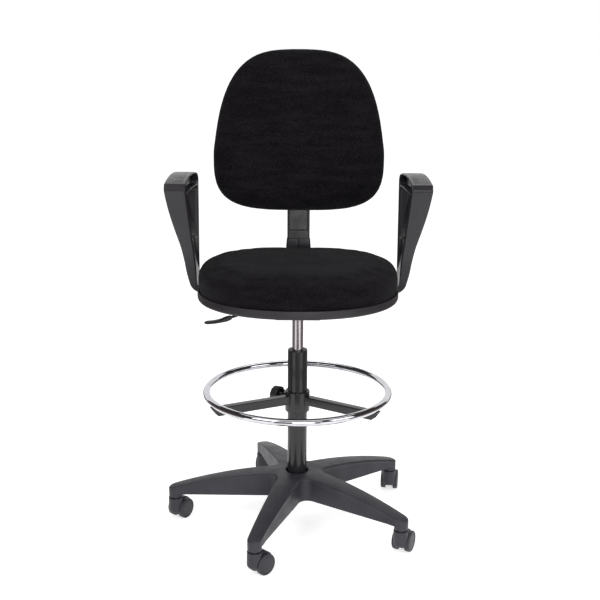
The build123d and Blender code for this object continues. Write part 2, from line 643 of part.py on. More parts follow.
with BuildPart() as seat_shell:
    shell_sections = []
    for turn in SHELL_TURNS:
        inset = SHELL_ROUND * (1 - sin(radians(turn)))
        up = SHELL_ROUND * (1 - cos(radians(turn)))
        shell_sections.append(seat_outline(SHELL_BOTTOM + up, inset, inset, inset))
    shell_sections.append(seat_outline(SHELL_RIM, 0, 0, 0))
    loft(shell_sections, ruled=True)
    board_room = seat_outline(board_low, SHELL_ROUND, SHELL_ROUND, SHELL_ROUND)
    extrude(board_room, amount=SHELL_RIM, mode=Mode.SUBTRACT)
    bolt_holes(SHELL_BOTTOM, BOLT_RADIUS + SIDE_GAP, SHELL_WALL)
save(seat_shell, "seat_shell")

with BuildPart() as seat_board:
    board_inset = SHELL_ROUND + SIDE_GAP
    extrude(seat_outline(board_low, board_inset, board_inset, board_inset), amount=BOARD_THICKNESS)
    bolt_holes(board_low, TEE_RADIUS + RUN_GAP, BOARD_THICKNESS)
    bolt_holes(board_top - TEE_FLANGE, TEE_FLANGE_RADIUS + RUN_GAP, TEE_FLANGE)
save(seat_board, "seat_board")

with BuildPart() as tee_nuts:
    tee_bore = BOLT_RADIUS + RUN_GAP
    for place in bolt_places:
        tube(level(board_low, place.X, place.Y), TEE_RADIUS, tee_bore, BOARD_THICKNESS)
        tube(level(board_top - TEE_FLANGE, place.X, place.Y), TEE_FLANGE_RADIUS, tee_bore, TEE_FLANGE)
save(tee_nuts, "tee_nuts")

# The cushion's sides draw in at the rim, and its crown rolls in further at the front, under the knees
with BuildPart() as seat_cushion:
    crest = SHELL_RIM + CUSHION_SIDE
    sections = [seat_outline(pad_low, PAD_TUCK, PAD_TUCK, PAD_TUCK), seat_outline(crest, 0, 0, 0)]
    for roll, lift in crown_steps:
        height = crest + (CUSHION_TOP - crest) * lift
        sections.append(seat_outline(height, roll * CROWN_SIDE, roll * CROWN_FRONT, roll * CROWN_REAR))
    loft(sections, ruled=True)
    plug_low = board_top + SIDE_GAP
    plug_inset = board_inset + SIDE_GAP
    extrude(seat_outline(plug_low, plug_inset, plug_inset, plug_inset), amount=pad_low - plug_low)
save(seat_cushion, "seat_cushion")

# Mechanism: pressed steel box bolted under the seat, with the socket for the gas lift
box_middle = (BOX_REAR - BOX_FRONT) / 2
box_length = BOX_REAR + BOX_FRONT
tilt_axis = Plane(origin=(0, TILT_PIVOT_Y, TILT_PIVOT_Z), x_dir=(0, 1, 0), z_dir=(1, 0, 0))
lever_axis = Plane(origin=(LEVER_PIVOT_X, 0, LEVER_HEIGHT), x_dir=(1, 0, 0), z_dir=(0, 1, 0))
ear_middle = LEVER_SLEEVE_HALF + SIDE_GAP + LEVER_EAR / 2
lever_pin_half = LEVER_SLEEVE_HALF + SIDE_GAP + LEVER_EAR

with BuildPart() as mechanism_box:
    with BuildSketch(level(BOX_LOW)):
        with Locations((0, box_middle)):
            Rectangle(2 * BOX_HALF_WIDTH, box_length)
    extrude(amount=BOX_TOP - BOX_LOW)
    with BuildSketch(level(BOX_LOW + BOX_WALL)):
        with Locations((0, box_middle)):
            Rectangle(2 * (BOX_HALF_WIDTH - BOX_WALL), box_length - 2 * BOX_WALL)
    extrude(amount=BOX_TOP - BOX_LOW, mode=Mode.SUBTRACT)
    with BuildSketch(level(BOX_TOP - BOX_WALL)):
        for side in (-1, 1):
            with Locations((side * (BOX_HALF_WIDTH + FLANGE_WIDTH / 2), box_middle)):
                Rectangle(FLANGE_WIDTH, box_length)
    extrude(amount=BOX_WALL)
    with BuildSketch(level(BOX_LOW + BOX_WALL)):
        for side in (-1, 1):
            with Locations((LEVER_PIVOT_X, side * ear_middle)):
                Rectangle(2 * LEVER_EAR_HALF, LEVER_EAR)
    extrude(amount=LEVER_HEIGHT + LEVER_SLEEVE_RADIUS - BOX_LOW - BOX_WALL)
    rod(lever_axis.offset(-lever_pin_half), LEVER_PIN_RADIUS + RUN_GAP, 2 * lever_pin_half, Mode.SUBTRACT)
    rod(level(BOX_LOW), SOCKET_RADIUS + RUN_GAP, BOX_WALL, Mode.SUBTRACT)
    rod(tilt_axis.offset(-BOX_HALF_WIDTH), TILT_PIN_RADIUS + RUN_GAP, 2 * BOX_HALF_WIDTH, Mode.SUBTRACT)
    slot_low = LEVER_HEIGHT - 2 * LEVER_SLOT_HALF
    with BuildSketch(level(slot_low)):
        with Locations((-BOX_HALF_WIDTH, 0)):
            Rectangle(4 * BOX_WALL, 2 * LEVER_SLOT_HALF)
    extrude(amount=BOX_TOP - BOX_WALL - slot_low, mode=Mode.SUBTRACT)
    with BuildSketch(level(BOX_LOW + BOX_WALL)):
        with Locations((0, BOX_REAR)):
            Rectangle(BAR_WIDTH + 2 * BOX_WALL, 4 * BOX_WALL)
    extrude(amount=TILT_PIVOT_Z + BAR_THICKNESS - BOX_LOW - BOX_WALL, mode=Mode.SUBTRACT)
    for place in seat_bolt_places:
        rod(level(BOX_LOW, place.X, place.Y), BOLT_RADIUS + SIDE_GAP, BOX_TOP - BOX_LOW, Mode.SUBTRACT)
save(mechanism_box, "mechanism_box")

with BuildPart() as taper_socket:
    tube(level(BOX_LOW), SOCKET_RADIUS, CYLINDER_RADIUS + RUN_GAP, CYLINDER_TOP - BOX_LOW)
save(taper_socket, "taper_socket")

# Bolts that hold the box and the arms to the seat board
with BuildPart() as seat_bolts:
    for places, seat_face in ((seat_bolt_places, BOX_TOP - BOX_WALL), (arm_bolt_places, ARM_LOW)):
        for place in places:
            head = level(seat_face - BOLT_HEAD_HEIGHT, place.X, place.Y)
            rod(head, BOLT_HEAD_RADIUS, BOLT_HEAD_HEIGHT)
            rod(head, BOLT_RADIUS, board_top - TEE_FLANGE - seat_face + BOLT_HEAD_HEIGHT)
save(seat_bolts, "seat_bolts")

# Height lever: a bent rod on a pivot sleeve, with a flat paddle
paddle_run = Vector(LEVER_TIP_X - LEVER_DROP_X, 0, LEVER_TIP_Z - LEVER_DROP_Z)
paddle_along = paddle_run.normalized()
lever_end = Vector(LEVER_DROP_X, 0, LEVER_DROP_Z) + paddle_along * LEVER_ROD_END

with BuildPart() as lever_rod:
    with BuildLine():
        FilletPolyline((LEVER_INNER_X, 0, LEVER_HEIGHT), (LEVER_BEND_X, 0, LEVER_HEIGHT),
                       (LEVER_DROP_X, 0, LEVER_DROP_Z), lever_end, radius=LEVER_BEND_RADIUS)
    with BuildSketch(Plane(origin=(LEVER_INNER_X, 0, LEVER_HEIGHT), z_dir=(-1, 0, 0))):
        Circle(LEVER_ROD_RADIUS)
    sweep()
    sleeve_end = lever_axis.offset(-LEVER_SLEEVE_HALF)
    rod(sleeve_end, LEVER_SLEEVE_RADIUS, 2 * LEVER_SLEEVE_HALF)
    rod(sleeve_end, LEVER_PIN_RADIUS + RUN_GAP, 2 * LEVER_SLEEVE_HALF, Mode.SUBTRACT)
save(lever_rod, "lever_rod")

paddle_start = Vector(LEVER_DROP_X, 0, LEVER_DROP_Z)
paddle_hub_start = LEVER_ROD_END - PADDLE_HUB_LENGTH / 2
paddle_plane = Plane(origin=paddle_start, x_dir=paddle_along, z_dir=paddle_along.cross(Vector(0, 1, 0)))
hub_plane = Plane(origin=paddle_start, x_dir=(0, 1, 0), z_dir=paddle_along)
with BuildPart() as lever_paddle:
    with BuildSketch(paddle_plane):
        with BuildLine():
            tip_start = paddle_run.length - PADDLE_HALF_WIDTH
            Polyline((tip_start, PADDLE_HALF_WIDTH), (LEVER_ROD_END, PADDLE_HALF_WIDTH),
                     (paddle_hub_start, PADDLE_HUB_RADIUS), (paddle_hub_start, -PADDLE_HUB_RADIUS),
                     (LEVER_ROD_END, -PADDLE_HALF_WIDTH), (tip_start, -PADDLE_HALF_WIDTH))
            ThreePointArc((tip_start, -PADDLE_HALF_WIDTH), (paddle_run.length, 0),
                          (tip_start, PADDLE_HALF_WIDTH))
        make_face()
    extrude(amount=PADDLE_THICKNESS / 2, both=True)
    hub_start = hub_plane.offset(paddle_hub_start)
    rod(hub_start, PADDLE_HUB_RADIUS, PADDLE_HUB_LENGTH)
    rod(hub_start, LEVER_ROD_RADIUS + RUN_GAP, LEVER_ROD_END - paddle_hub_start + RUN_GAP, Mode.SUBTRACT)
save(lever_paddle, "lever_paddle")

# Back support: a bent flat bar that tilts on a pin across the box
upright = Plane(origin=(0, UPRIGHT_Y, UPRIGHT_Z), x_dir=(1, 0, 0), z_dir=(0, -cos(lean), sin(lean)))
across = Plane(origin=upright.origin, x_dir=(1, 0, 0), z_dir=(0, sin(lean), cos(lean)))
bar_corner_v = (TILT_PIVOT_Z - UPRIGHT_Z + BAR_DEPTH * sin(lean)) / cos(lean)
bar_corner = across.from_local_coords(Vector(0, BAR_DEPTH, bar_corner_v))
bar_end = across.from_local_coords(Vector(0, BAR_DEPTH, BAR_TOP))

with BuildPart() as back_bar:
    with BuildLine():
        FilletPolyline((0, TILT_PIVOT_Y, TILT_PIVOT_Z), bar_corner, bar_end, radius=BAR_BEND)
    with BuildSketch(Plane(origin=(0, TILT_PIVOT_Y, TILT_PIVOT_Z), x_dir=(1, 0, 0), z_dir=(0, 1, 0))):
        Rectangle(BAR_WIDTH, BAR_THICKNESS)
    sweep()
    rod(tilt_axis.offset(-TILT_EYE_HALF), TILT_EYE_RADIUS, 2 * TILT_EYE_HALF)
    rod(tilt_axis.offset(-TILT_EYE_HALF), TILT_PIN_RADIUS + RUN_GAP, 2 * TILT_EYE_HALF, Mode.SUBTRACT)
save(back_bar, "back_bar")

# Pivot pins of the lever and of the back
with BuildPart() as pivot_pins:
    rod(lever_axis.offset(-lever_pin_half), LEVER_PIN_RADIUS, 2 * lever_pin_half)
    rod(tilt_axis.offset(-BOX_HALF_WIDTH - BOX_WALL), TILT_PIN_RADIUS, 2 * (BOX_HALF_WIDTH + BOX_WALL))
    for side in (-1, 1):
        rod(tilt_axis.offset(side * BOX_HALF_WIDTH), TILT_PIN_HEAD, side * BOX_WALL)
save(pivot_pins, "pivot_pins")

with BuildPart() as tilt_bushes:
    bush_length = BOX_HALF_WIDTH - BOX_WALL - TILT_EYE_HALF - 2 * SIDE_GAP
    for side in (-1, 1):
        tube(tilt_axis.offset(side * (TILT_EYE_HALF + SIDE_GAP)), TILT_PIN_HEAD, TILT_PIN_RADIUS + RUN_GAP,
             side * bush_length)
save(tilt_bushes, "tilt_bushes")

# Covers of the upright: the upper one slides in the lower one, which is two halves
lower_half = UPPER_WIDTH / 2 + COVER_PLAY
lower_outer = lower_half + LOWER_WALL
slot_half = BAR_WIDTH / 2 + RUN_GAP
slot_depth = BAR_THICKNESS + 2 * RUN_GAP


def screw_planes(depth, facing):
    """Planes at the back's screws, at a depth in front of the upright, facing forwards (1) or back (-1)."""
    columns = (-BACK_SCREW_SPREAD, BACK_SCREW_SPREAD)
    places = [Vector(x, row, depth) for row in BACK_SCREW_ROWS for x in columns]
    return [Plane(origin=upright.from_local_coords(place), z_dir=upright.z_dir * facing) for place in places]


with BuildPart() as upper_cover:
    with BuildSketch(across.offset(UPPER_LOW)):
        with Locations((0, UPPER_DEPTH / 2)):
            RectangleRounded(UPPER_WIDTH, UPPER_DEPTH, UPPER_ROUND)
    extrude(amount=UPPER_TOP - UPPER_LOW)
    with BuildSketch(across.offset(UPPER_LOW)):
        with Locations((0, UPPER_DEPTH / 2)):
            Rectangle(UPPER_WIDTH - 2 * UPPER_WALL, UPPER_DEPTH - 2 * UPPER_WALL)
    extrude(amount=UPPER_TOP - UPPER_LOW - UPPER_WALL, mode=Mode.SUBTRACT)
    with BuildSketch(upright):
        with Locations((0, (PANEL_LOW + PANEL_HIGH) / 2)):
            Rectangle(2 * PANEL_HALF_WIDTH, PANEL_HIGH - PANEL_LOW)
    extrude(amount=-PANEL_DEPTH, mode=Mode.SUBTRACT)
    for plane in screw_planes(0, -1):
        rod(plane, BACK_SCREW_RADIUS + RUN_GAP, UPPER_WALL, Mode.SUBTRACT)
save(upper_cover, "upper_cover")

with BuildPart() as back_slider:
    with BuildSketch(across.offset(SLIDER_LOW)):
        with Locations((0, UPPER_DEPTH / 2)):
            Rectangle(UPPER_WIDTH - 2 * UPPER_WALL - 2 * RUN_GAP, UPPER_DEPTH - 2 * UPPER_WALL - 2 * RUN_GAP)
        with Locations((0, BAR_DEPTH)):
            Rectangle(2 * slot_half, slot_depth, mode=Mode.SUBTRACT)
    extrude(amount=SLIDER_HIGH - SLIDER_LOW)
save(back_slider, "back_slider")

for side, hand in ((-1, "left"), (1, "right")):
    with BuildPart() as lower_cover:
        with BuildSketch(across.offset(LOWER_LOW)):
            with Locations((0, UPPER_DEPTH / 2)):
                RectangleRounded(2 * lower_outer, UPPER_DEPTH + 2 * (COVER_PLAY + LOWER_WALL), UPPER_ROUND)
        extrude(amount=-LOWER_LOW)
        with BuildSketch(across.offset(LOWER_FILL)):
            with Locations((0, UPPER_DEPTH / 2)):
                Rectangle(2 * lower_half, UPPER_DEPTH + 2 * COVER_PLAY)
        extrude(amount=-LOWER_FILL, mode=Mode.SUBTRACT)
        with BuildSketch(across.offset(LOWER_LOW)):
            with Locations((0, BAR_DEPTH)):
                Rectangle(2 * slot_half, slot_depth, mode=Mode.ADD)
        extrude(amount=-LOWER_LOW, mode=Mode.SUBTRACT)
        with BuildSketch(across.offset(LOWER_LOW)):
            with Locations((-side * (lower_outer - COVER_PLAY / 4), UPPER_DEPTH / 2)):
                Rectangle(2 * lower_outer, 2 * UPPER_DEPTH)
        extrude(amount=-LOWER_LOW, mode=Mode.SUBTRACT)
        bend_room = Plane(origin=bar_corner, x_dir=(1, 0, 0), z_dir=(0, 0, 1))
        with BuildSketch(bend_room.offset(-BAR_BEND)):
            with Locations((0, -UPPER_DEPTH / 2)):
                Rectangle(2 * slot_half, 2 * UPPER_DEPTH)
        extrude(amount=2 * BAR_BEND, mode=Mode.SUBTRACT)
    save(lower_cover, f"lower_cover_{hand}")

# Backrest: shell, board and cushion on one outline, square to the upright


def back_outline(depth, inset):
    """Backrest outline at a depth in front of the upright, drawn in by an amount all round."""
    middle = upright.from_local_coords(Vector(0, BACK_WAIST, depth))
    plane = Plane(origin=middle, x_dir=(1, 0, 0), z_dir=upright.z_dir)
    return egg(plane, BACK_HALF_WIDTH - inset, BACK_RISE - inset, BACK_DROP - inset, BACK_RISE_POWER,
               BACK_DROP_POWER, BACK_TAPER)


with BuildPart() as back_shell:
    loft([back_outline(share * BACK_SHELL_DEPTH, inset) for share, inset in BACK_ROUNDING], ruled=True)
    hollow = [back_outline(share * BACK_SHELL_DEPTH + BACK_SHELL_WALL, inset + BACK_SHELL_WALL)
              for share, inset in BACK_ROUNDING]
    loft(hollow, ruled=True, mode=Mode.SUBTRACT)
    for plane in screw_planes(0, 1):
        rod(plane, BACK_SCREW_RADIUS + RUN_GAP, BACK_SHELL_DEPTH, Mode.SUBTRACT)
save(back_shell, "back_shell")

back_board_front = BACK_SHELL_DEPTH - SIDE_GAP
back_board_rear = back_board_front - BACK_BOARD_THICKNESS
with BuildPart() as back_board:
    extrude(back_outline(back_board_rear, BACK_BOARD_INSET), amount=BACK_BOARD_THICKNESS)
    for plane in screw_planes(0, 1):
        rod(plane, BACK_SCREW_RADIUS + RUN_GAP, BACK_SHELL_DEPTH, Mode.SUBTRACT)
save(back_board, "back_board")

with BuildPart() as back_screws:
    for plane in screw_planes(-UPPER_WALL, -1):
        rod(plane, SCREW_HEAD_RADIUS, SCREW_HEAD_HEIGHT)
        rod(plane, BACK_SCREW_RADIUS, -UPPER_WALL - back_board_front + SIDE_GAP)
save(back_screws, "back_screws")

with BuildPart() as back_cushion:
    back_low = BACK_SHELL_DEPTH + SIDE_GAP
    back_crest = back_low + BACK_PAD_SIDE
    sections = [back_outline(back_low, PAD_TUCK), back_outline(back_crest, 0)]
    for roll, lift in crown_steps:
        sections.append(back_outline(back_crest + (BACK_PAD_DEPTH - back_crest) * lift, roll * BACK_CROWN))
    loft(sections, ruled=True)
save(back_cushion, "back_cushion")

# Arms: a closed loop whose front view and side view are cut out of one block
arm_front_view = Plane(origin=arm_frame.origin, x_dir=arm_frame.x_dir, z_dir=-arm_frame.y_dir)
arm_side_view = Plane(origin=arm_frame.origin, x_dir=arm_frame.y_dir, z_dir=arm_frame.x_dir)
tongue_top = SHELL_BOTTOM - SIDE_GAP
nose = (ARM_FRONT + ARM_NOSE[0], ARM_FRONT_TOP + ARM_NOSE[1])
tail = (ARM_REAR - ARM_TAIL[0], ARM_REAR_TOP + ARM_TAIL[1])
foot_front = ARM_FOOT_Y - ARM_FOOT_HALF
foot_rear = ARM_FOOT_Y + ARM_FOOT_HALF
with BuildPart() as right_arm:
    with BuildSketch(arm_front_view):
        with BuildLine():
            Polyline((0, ARM_TOP), (ARM_TOP_WIDTH, ARM_TOP), (ARM_TOP_WIDTH, ARM_REAR_TOP))
            ThreePointArc((ARM_TOP_WIDTH, ARM_REAR_TOP), ARM_SHOULDER, ARM_BULGE_END)
            ThreePointArc(ARM_BULGE_END, ARM_HOLLOW, ARM_WAIST)
            ThreePointArc(ARM_WAIST, ARM_HEEL, (ARM_HEEL_END, ARM_LOW))
            Polyline((ARM_HEEL_END, ARM_LOW), (-ARM_TONGUE, ARM_LOW), (-ARM_TONGUE, tongue_top),
                     (-ARM_BEND[0], tongue_top), (0, tongue_top + ARM_BEND[1]), (0, ARM_TOP))
        make_face()
    extrude(amount=2 * ARM_REAR, both=True)
    with BuildSketch(arm_side_view):
        with BuildLine():
            ThreePointArc(nose, (ARM_CROWN_Y, ARM_TOP), tail)
            Polyline(tail, (ARM_REAR, ARM_REAR_TOP), (foot_rear, ARM_NECK), (foot_rear, ARM_LOW),
                     (foot_front, ARM_LOW), (foot_front, ARM_NECK), (ARM_FRONT, ARM_FRONT_TOP), nose)
        make_face()
        with BuildLine():
            Polyline((ARM_LOOP_FRONT, ARM_LOOP_TOP), (ARM_LOOP_REAR, ARM_LOOP_TOP - ARM_LOOP_SLOPE),
                     ARM_LOOP_TIP, close=True)
        make_face(mode=Mode.SUBTRACT)
    extrude(amount=2 * ARM_TONGUE, both=True, mode=Mode.INTERSECT)
    for place in right_arm_bolts:
        rod(level(ARM_LOW, place.X, place.Y), BOLT_RADIUS + SIDE_GAP, tongue_top - ARM_LOW, Mode.SUBTRACT)
save(right_arm, "right_arm")

with BuildPart() as left_arm:
    add(right_arm.part)
    mirror(about=Plane.YZ, mode=Mode.REPLACE)
save(left_arm, "left_arm")
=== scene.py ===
# %% [markdown]
# A tall drafting chair
#
# The chair stands on five twin-wheel casters. A black column rises from the star base, a bright gas lift
# carries the seat, and a chromed ring takes the sitter's feet. This file dresses the measured model of that
# chair, one piece at a time. Every piece is placed by the frame that is loaded here, in metres, with +Z up
# and the sitter facing -Y, so nothing has to be fitted by eye.

# %% Load the frame
import json
import bmesh
import bpy
import numpy as np
from mathutils import Matrix, Vector


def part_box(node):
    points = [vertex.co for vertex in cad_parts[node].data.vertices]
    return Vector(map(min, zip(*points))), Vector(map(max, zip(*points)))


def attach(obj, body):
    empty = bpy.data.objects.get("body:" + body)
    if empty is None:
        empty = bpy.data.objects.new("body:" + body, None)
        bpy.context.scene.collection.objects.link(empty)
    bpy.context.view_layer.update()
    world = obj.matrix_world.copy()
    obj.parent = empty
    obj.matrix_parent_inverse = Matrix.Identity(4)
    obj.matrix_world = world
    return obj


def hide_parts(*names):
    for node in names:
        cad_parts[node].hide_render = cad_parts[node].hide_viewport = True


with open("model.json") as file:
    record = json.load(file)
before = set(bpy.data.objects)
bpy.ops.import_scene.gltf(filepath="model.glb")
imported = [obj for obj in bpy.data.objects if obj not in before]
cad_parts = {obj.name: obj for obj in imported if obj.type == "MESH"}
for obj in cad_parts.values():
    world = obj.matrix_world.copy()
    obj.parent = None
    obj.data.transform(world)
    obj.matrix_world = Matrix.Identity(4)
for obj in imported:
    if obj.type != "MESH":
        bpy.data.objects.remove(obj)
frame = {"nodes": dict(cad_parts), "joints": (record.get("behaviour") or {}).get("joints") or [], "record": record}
nodes = frame["nodes"]
joints = {joint["name"]: joint for joint in frame["joints"]}
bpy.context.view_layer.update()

# %% [markdown]
# The camera and the studio
#
# A photograph from a little above eye height of a sitter, with a long lens. The lens is given by its focal
# length in pixels of a 600 pixel frame, which is how a fitted camera is usually stated. The studio is a pale
# floor under a white world, with four broad lamps: black plastic only shows its form where a broad lamp is
# mirrored in it, so the lamps are large.

# %% Camera
PHOTO_PIXELS = 600
FOCAL_PIXELS = 1084
SENSOR_MM = 36
EYE = (0.0052, -2.634, 1.2655)
LOOK_DOWN = np.radians(14.255)
ROLL = np.radians(0.35)

lens = bpy.data.cameras.new("camera")
lens.sensor_width = SENSOR_MM
lens.lens = FOCAL_PIXELS / PHOTO_PIXELS * SENSOR_MM
camera = bpy.data.objects.new("camera", lens)
turned = Matrix.Rotation(np.pi / 2 - LOOK_DOWN, 4, "X") @ Matrix.Rotation(ROLL, 4, "Z")
camera.matrix_world = Matrix.Translation(EYE) @ turned
bpy.context.scene.collection.objects.link(camera)
bpy.context.scene.camera = camera
bpy.context.scene.view_settings.view_transform = "Standard"
print("lens %.1f mm" % lens.lens)

# %% First words for node trees


def feed(tree, node, sockets):
    """Link each named or numbered socket to the output given for it, or set it to the value given."""
    for socket, value in sockets.items():
        if isinstance(value, bpy.types.NodeSocket):
            tree.links.new(value, node.inputs[socket])
        else:
            node.inputs[socket].default_value = value


def wired(tree, kind, sockets, **settings):
    """The outputs of a new node, with its settings made and its sockets fed."""
    node = tree.nodes.new("ShaderNode" + kind)
    for setting, value in settings.items():
        setattr(node, setting, value)
    feed(tree, node, sockets)
    return node.outputs


def new_finish(name, sockets):
    """A named material whose shader has these sockets set; returned with its tree and shader."""
    made = bpy.data.materials.new(name)
    made.use_nodes = True
    shader = made.node_tree.nodes["Principled BSDF"]
    feed(made.node_tree, shader, sockets)
    return made, made.node_tree, shader


def spread(tree, value, low, high, start=0.3, end=0.7):
    """The value carried from the span start..end onto low..high, and held at its ends."""
    spans = {"From Min": start, "From Max": end, "To Min": low, "To Max": high}
    return wired(tree, "MapRange", {"Value": value, **spans})["Result"]


def tinted(tree, value, dark, light):
    """A colour that goes from dark to light as the value goes from 0 to 1."""
    return wired(tree, "Mix", {"Factor": value, 6: (*dark, 1), 7: (*light, 1)}, data_type="RGBA")[2]


print("first node words ready")

# %% World and floor
WORLD_LIGHT = 0.48
FLOOR_HALF = 40.0
FLOOR_COLOUR = (0.92, 0.92, 0.92, 1)
FLOOR_ROUGHNESS = 0.9
FLOOR_LIFT = 0.62  # light added for the camera and for mirrors alone, so that the bare floor is white
WHITE = (1, 1, 1, 1)


def seen_directly(tree):
    """A value that is 1 on rays from the camera, off mirrors and through glass, and 0 on the rest."""
    path = wired(tree, "LightPath", {})
    seen = wired(tree, "Math", {0: path["Is Camera Ray"], 1: path["Is Glossy Ray"]}, operation="MAXIMUM")[0]
    return wired(tree, "Math", {0: seen, 1: path["Is Transmission Ray"]}, operation="MAXIMUM")[0]


world = bpy.data.worlds.new("studio")
world.use_nodes = True
bpy.context.scene.world = world
tree = world.node_tree
feed(tree, tree.nodes["Background"],
     {"Color": WHITE, "Strength": spread(tree, seen_directly(tree), WORLD_LIGHT, 1.0, 0, 1)})

floor_finish, tree, shader = new_finish("floor", {"Base Color": FLOOR_COLOUR, "Roughness": FLOOR_ROUGHNESS,
                                                  "Emission Color": WHITE})
lift = wired(tree, "Math", {0: seen_directly(tree), 1: FLOOR_LIFT}, operation="MULTIPLY")[0]
feed(tree, shader, {"Emission Strength": lift})


def staged(name, points, faces, finish):
    """A piece of the studio, which is no part of the chair."""
    mesh = bpy.data.meshes.new(name)
    mesh.from_pydata(points.tolist(), [], faces)
    mesh.materials.append(finish)
    thing = bpy.data.objects.new(name, mesh)
    bpy.context.scene.collection.objects.link(thing)
    return thing


corners = np.array([(-1, -1, 0), (1, -1, 0), (1, 1, 0), (-1, 1, 0)]) * FLOOR_HALF
staged("floor", corners, [(0, 1, 2, 3)], floor_finish)
print("floor: %.0f m wide" % (2 * FLOOR_HALF))

# %% [markdown]
# Something dark to mirror
#
# Chrome in an all-white room is white on white and loses its shape. In a photographer's room the white paper ends
# a step away from the chair, the ceiling is dark, and only the lamps and the wall behind are bright. The cloth here
# stands for that room: a floor ring with two light gaps, which draw the two bright lines on the gas lift, and a
# dark canopy with two windows, open behind and overhead. Only mirrored rays can see it, so it takes no light off the
# chair and shows in no view.

# %% The dark room that metal mirrors
CLOTH_NEAR, CLOTH_FAR, CLOTH_LIFT = 0.95, 6.0, 0.002
CLOTH_SIDES, CANOPY_ROWS, CANOPY_TOP = 72, 12, 88
LIGHT_GAP = (27, 61)  # degrees to either side of the camera between which the floor stays white
FLOOR_END = 160  # degrees round from the camera, past which the floor stays white too
WINDOW = (5, 32, 23, 48)  # two bright windows over the camera: degrees round from it and up
OPEN_FROM, OPEN_BELOW = 128, 48  # degrees round from the camera and up, past and under which the room is white
SKYLIGHT = 62  # degrees up, above which the canopy is open, so that rounded edges catch a line of light
FLOOR_CLOTH, CANOPY_CLOTH = (0.27, 0.23, 0.225), (0.05, 0.044, 0.042)
CLOTH_FADE = 0.5  # metres up, by which the floor's colour has gone over into the canopy's

turn = np.linspace(0, 2 * np.pi, CLOTH_SIDES, endpoint=False)
climb = np.radians(np.linspace(0, CANOPY_TOP, CANOPY_ROWS))
out = CLOTH_FAR * np.concatenate([[CLOTH_NEAR / CLOTH_FAR], np.cos(climb)])
up = CLOTH_FAR * np.concatenate([[0], np.sin(climb)]) + CLOTH_LIFT
room = np.stack([np.outer(out, np.sin(turn)), np.outer(out, -np.cos(turn)),
                 np.repeat(up[:, None], CLOTH_SIDES, axis=1)], axis=-1)
row, side = np.meshgrid(np.arange(len(out) - 1), np.arange(CLOTH_SIDES), indexing="ij")
after = (side + 1) % CLOTH_SIDES
away = np.abs((np.degrees(turn[side]) + 180 / CLOTH_SIDES + 180) % 360 - 180)
above = np.degrees(np.concatenate([[0], climb]))[row + 1]
on_floor = (row == 0) & ((away < LIGHT_GAP[0]) | (away > LIGHT_GAP[1])) & (away < FLOOR_END)
window = (away > WINDOW[0]) & (away < WINDOW[1]) & (above > WINDOW[2]) & (above < WINDOW[3])
in_canopy = (row > 0) & ((away < OPEN_FROM) | (above > OPEN_BELOW)) & (above < SKYLIGHT) & ~window
corners = np.stack([row * CLOTH_SIDES + side, row * CLOTH_SIDES + after, (row + 1) * CLOTH_SIDES + after,
                    (row + 1) * CLOTH_SIDES + side], axis=-1)

cloth_finish, tree, shader = new_finish("dark_room", {"Base Color": (0, 0, 0, 1), "Specular IOR Level": 0.0,
                                                      "Emission Strength": 1.0})
cloth_finish.cycles.emission_sampling = "NONE"
height = wired(tree, "SeparateXYZ", {"Vector": wired(tree, "TexCoord", {})["Object"]})["Z"]
glow = tinted(tree, spread(tree, height, 0, 1, 0, CLOTH_FADE), FLOOR_CLOTH, CANOPY_CLOTH)
feed(tree, shader, {"Emission Color": glow})
cloth = staged("dark_room", room.reshape(-1, 3), corners[on_floor | in_canopy].tolist(), cloth_finish)
cloth.visible_camera = cloth.visible_diffuse = cloth.visible_shadow = cloth.visible_transmission = False
print("dark room: %d panels, %.1f m away" % (np.count_nonzero(on_floor | in_canopy), CLOTH_FAR))

# %% Lamps
LAMPS = {  # place, what it looks at, width, watts
    "key_lamp": ((-2.2, -2.4, 2.9), (0, 0, 0.7), 1.8, 40),
    "fill_lamp": ((2.6, -1.8, 1.8), (0, 0, 0.6), 1.6, 24),
    "top_lamp": ((0.3, 1.4, 3.2), (0, 0, 0.6), 2.0, 16),
    "front_lamp": ((0.4, -3.2, 0.8), (0, 0, 0.6), 1.4, 32),
}
for name, (spot, target, width, watts) in LAMPS.items():
    lamp = bpy.data.lights.new(name, "AREA")
    lamp.size = width
    lamp.energy = watts
    holder = bpy.data.objects.new(name, lamp)
    holder.location = spot
    holder.rotation_euler = (Vector(target) - holder.location).to_track_quat("-Z", "Y").to_euler()
    holder.visible_camera = False
    bpy.context.scene.collection.objects.link(holder)
print("lamps:", ", ".join(LAMPS))

# %% [markdown]
# Finishes
#
# Every finish is a small node tree on object coordinates, so one size of grain runs over all the pieces and
# stays put when they move. To the words above come four more: a cloud of noise, a sum, a bump, and a mask of the
# sharp edges, for a painted highlight along them. A number that is the same all over goes straight onto the
# shader's socket.

# %% More words for node trees


def cloud(tree, per_metre, detail=2.0, stretch=(1, 1, 1)):
    """Noise between 0 and 1 with so many features to the metre, stretched along the axes."""
    where = wired(tree, "TexCoord", {})["Object"]
    scaled = wired(tree, "Mapping", {"Vector": where, "Scale": stretch})["Vector"]
    return wired(tree, "TexNoise", {"Vector": scaled, "Scale": per_metre, "Detail": detail})["Fac"]


def added(tree, first, second, share):
    """First plus a share of second."""
    return wired(tree, "Math", {0: second, 1: share, 2: first}, operation="MULTIPLY_ADD")[0]


def raised(tree, height, depth, strength=1.0):
    """The surface's normal bumped by the height, where 1 stands depth metres proud."""
    return wired(tree, "Bump", {"Height": height, "Distance": depth, "Strength": strength})["Normal"]
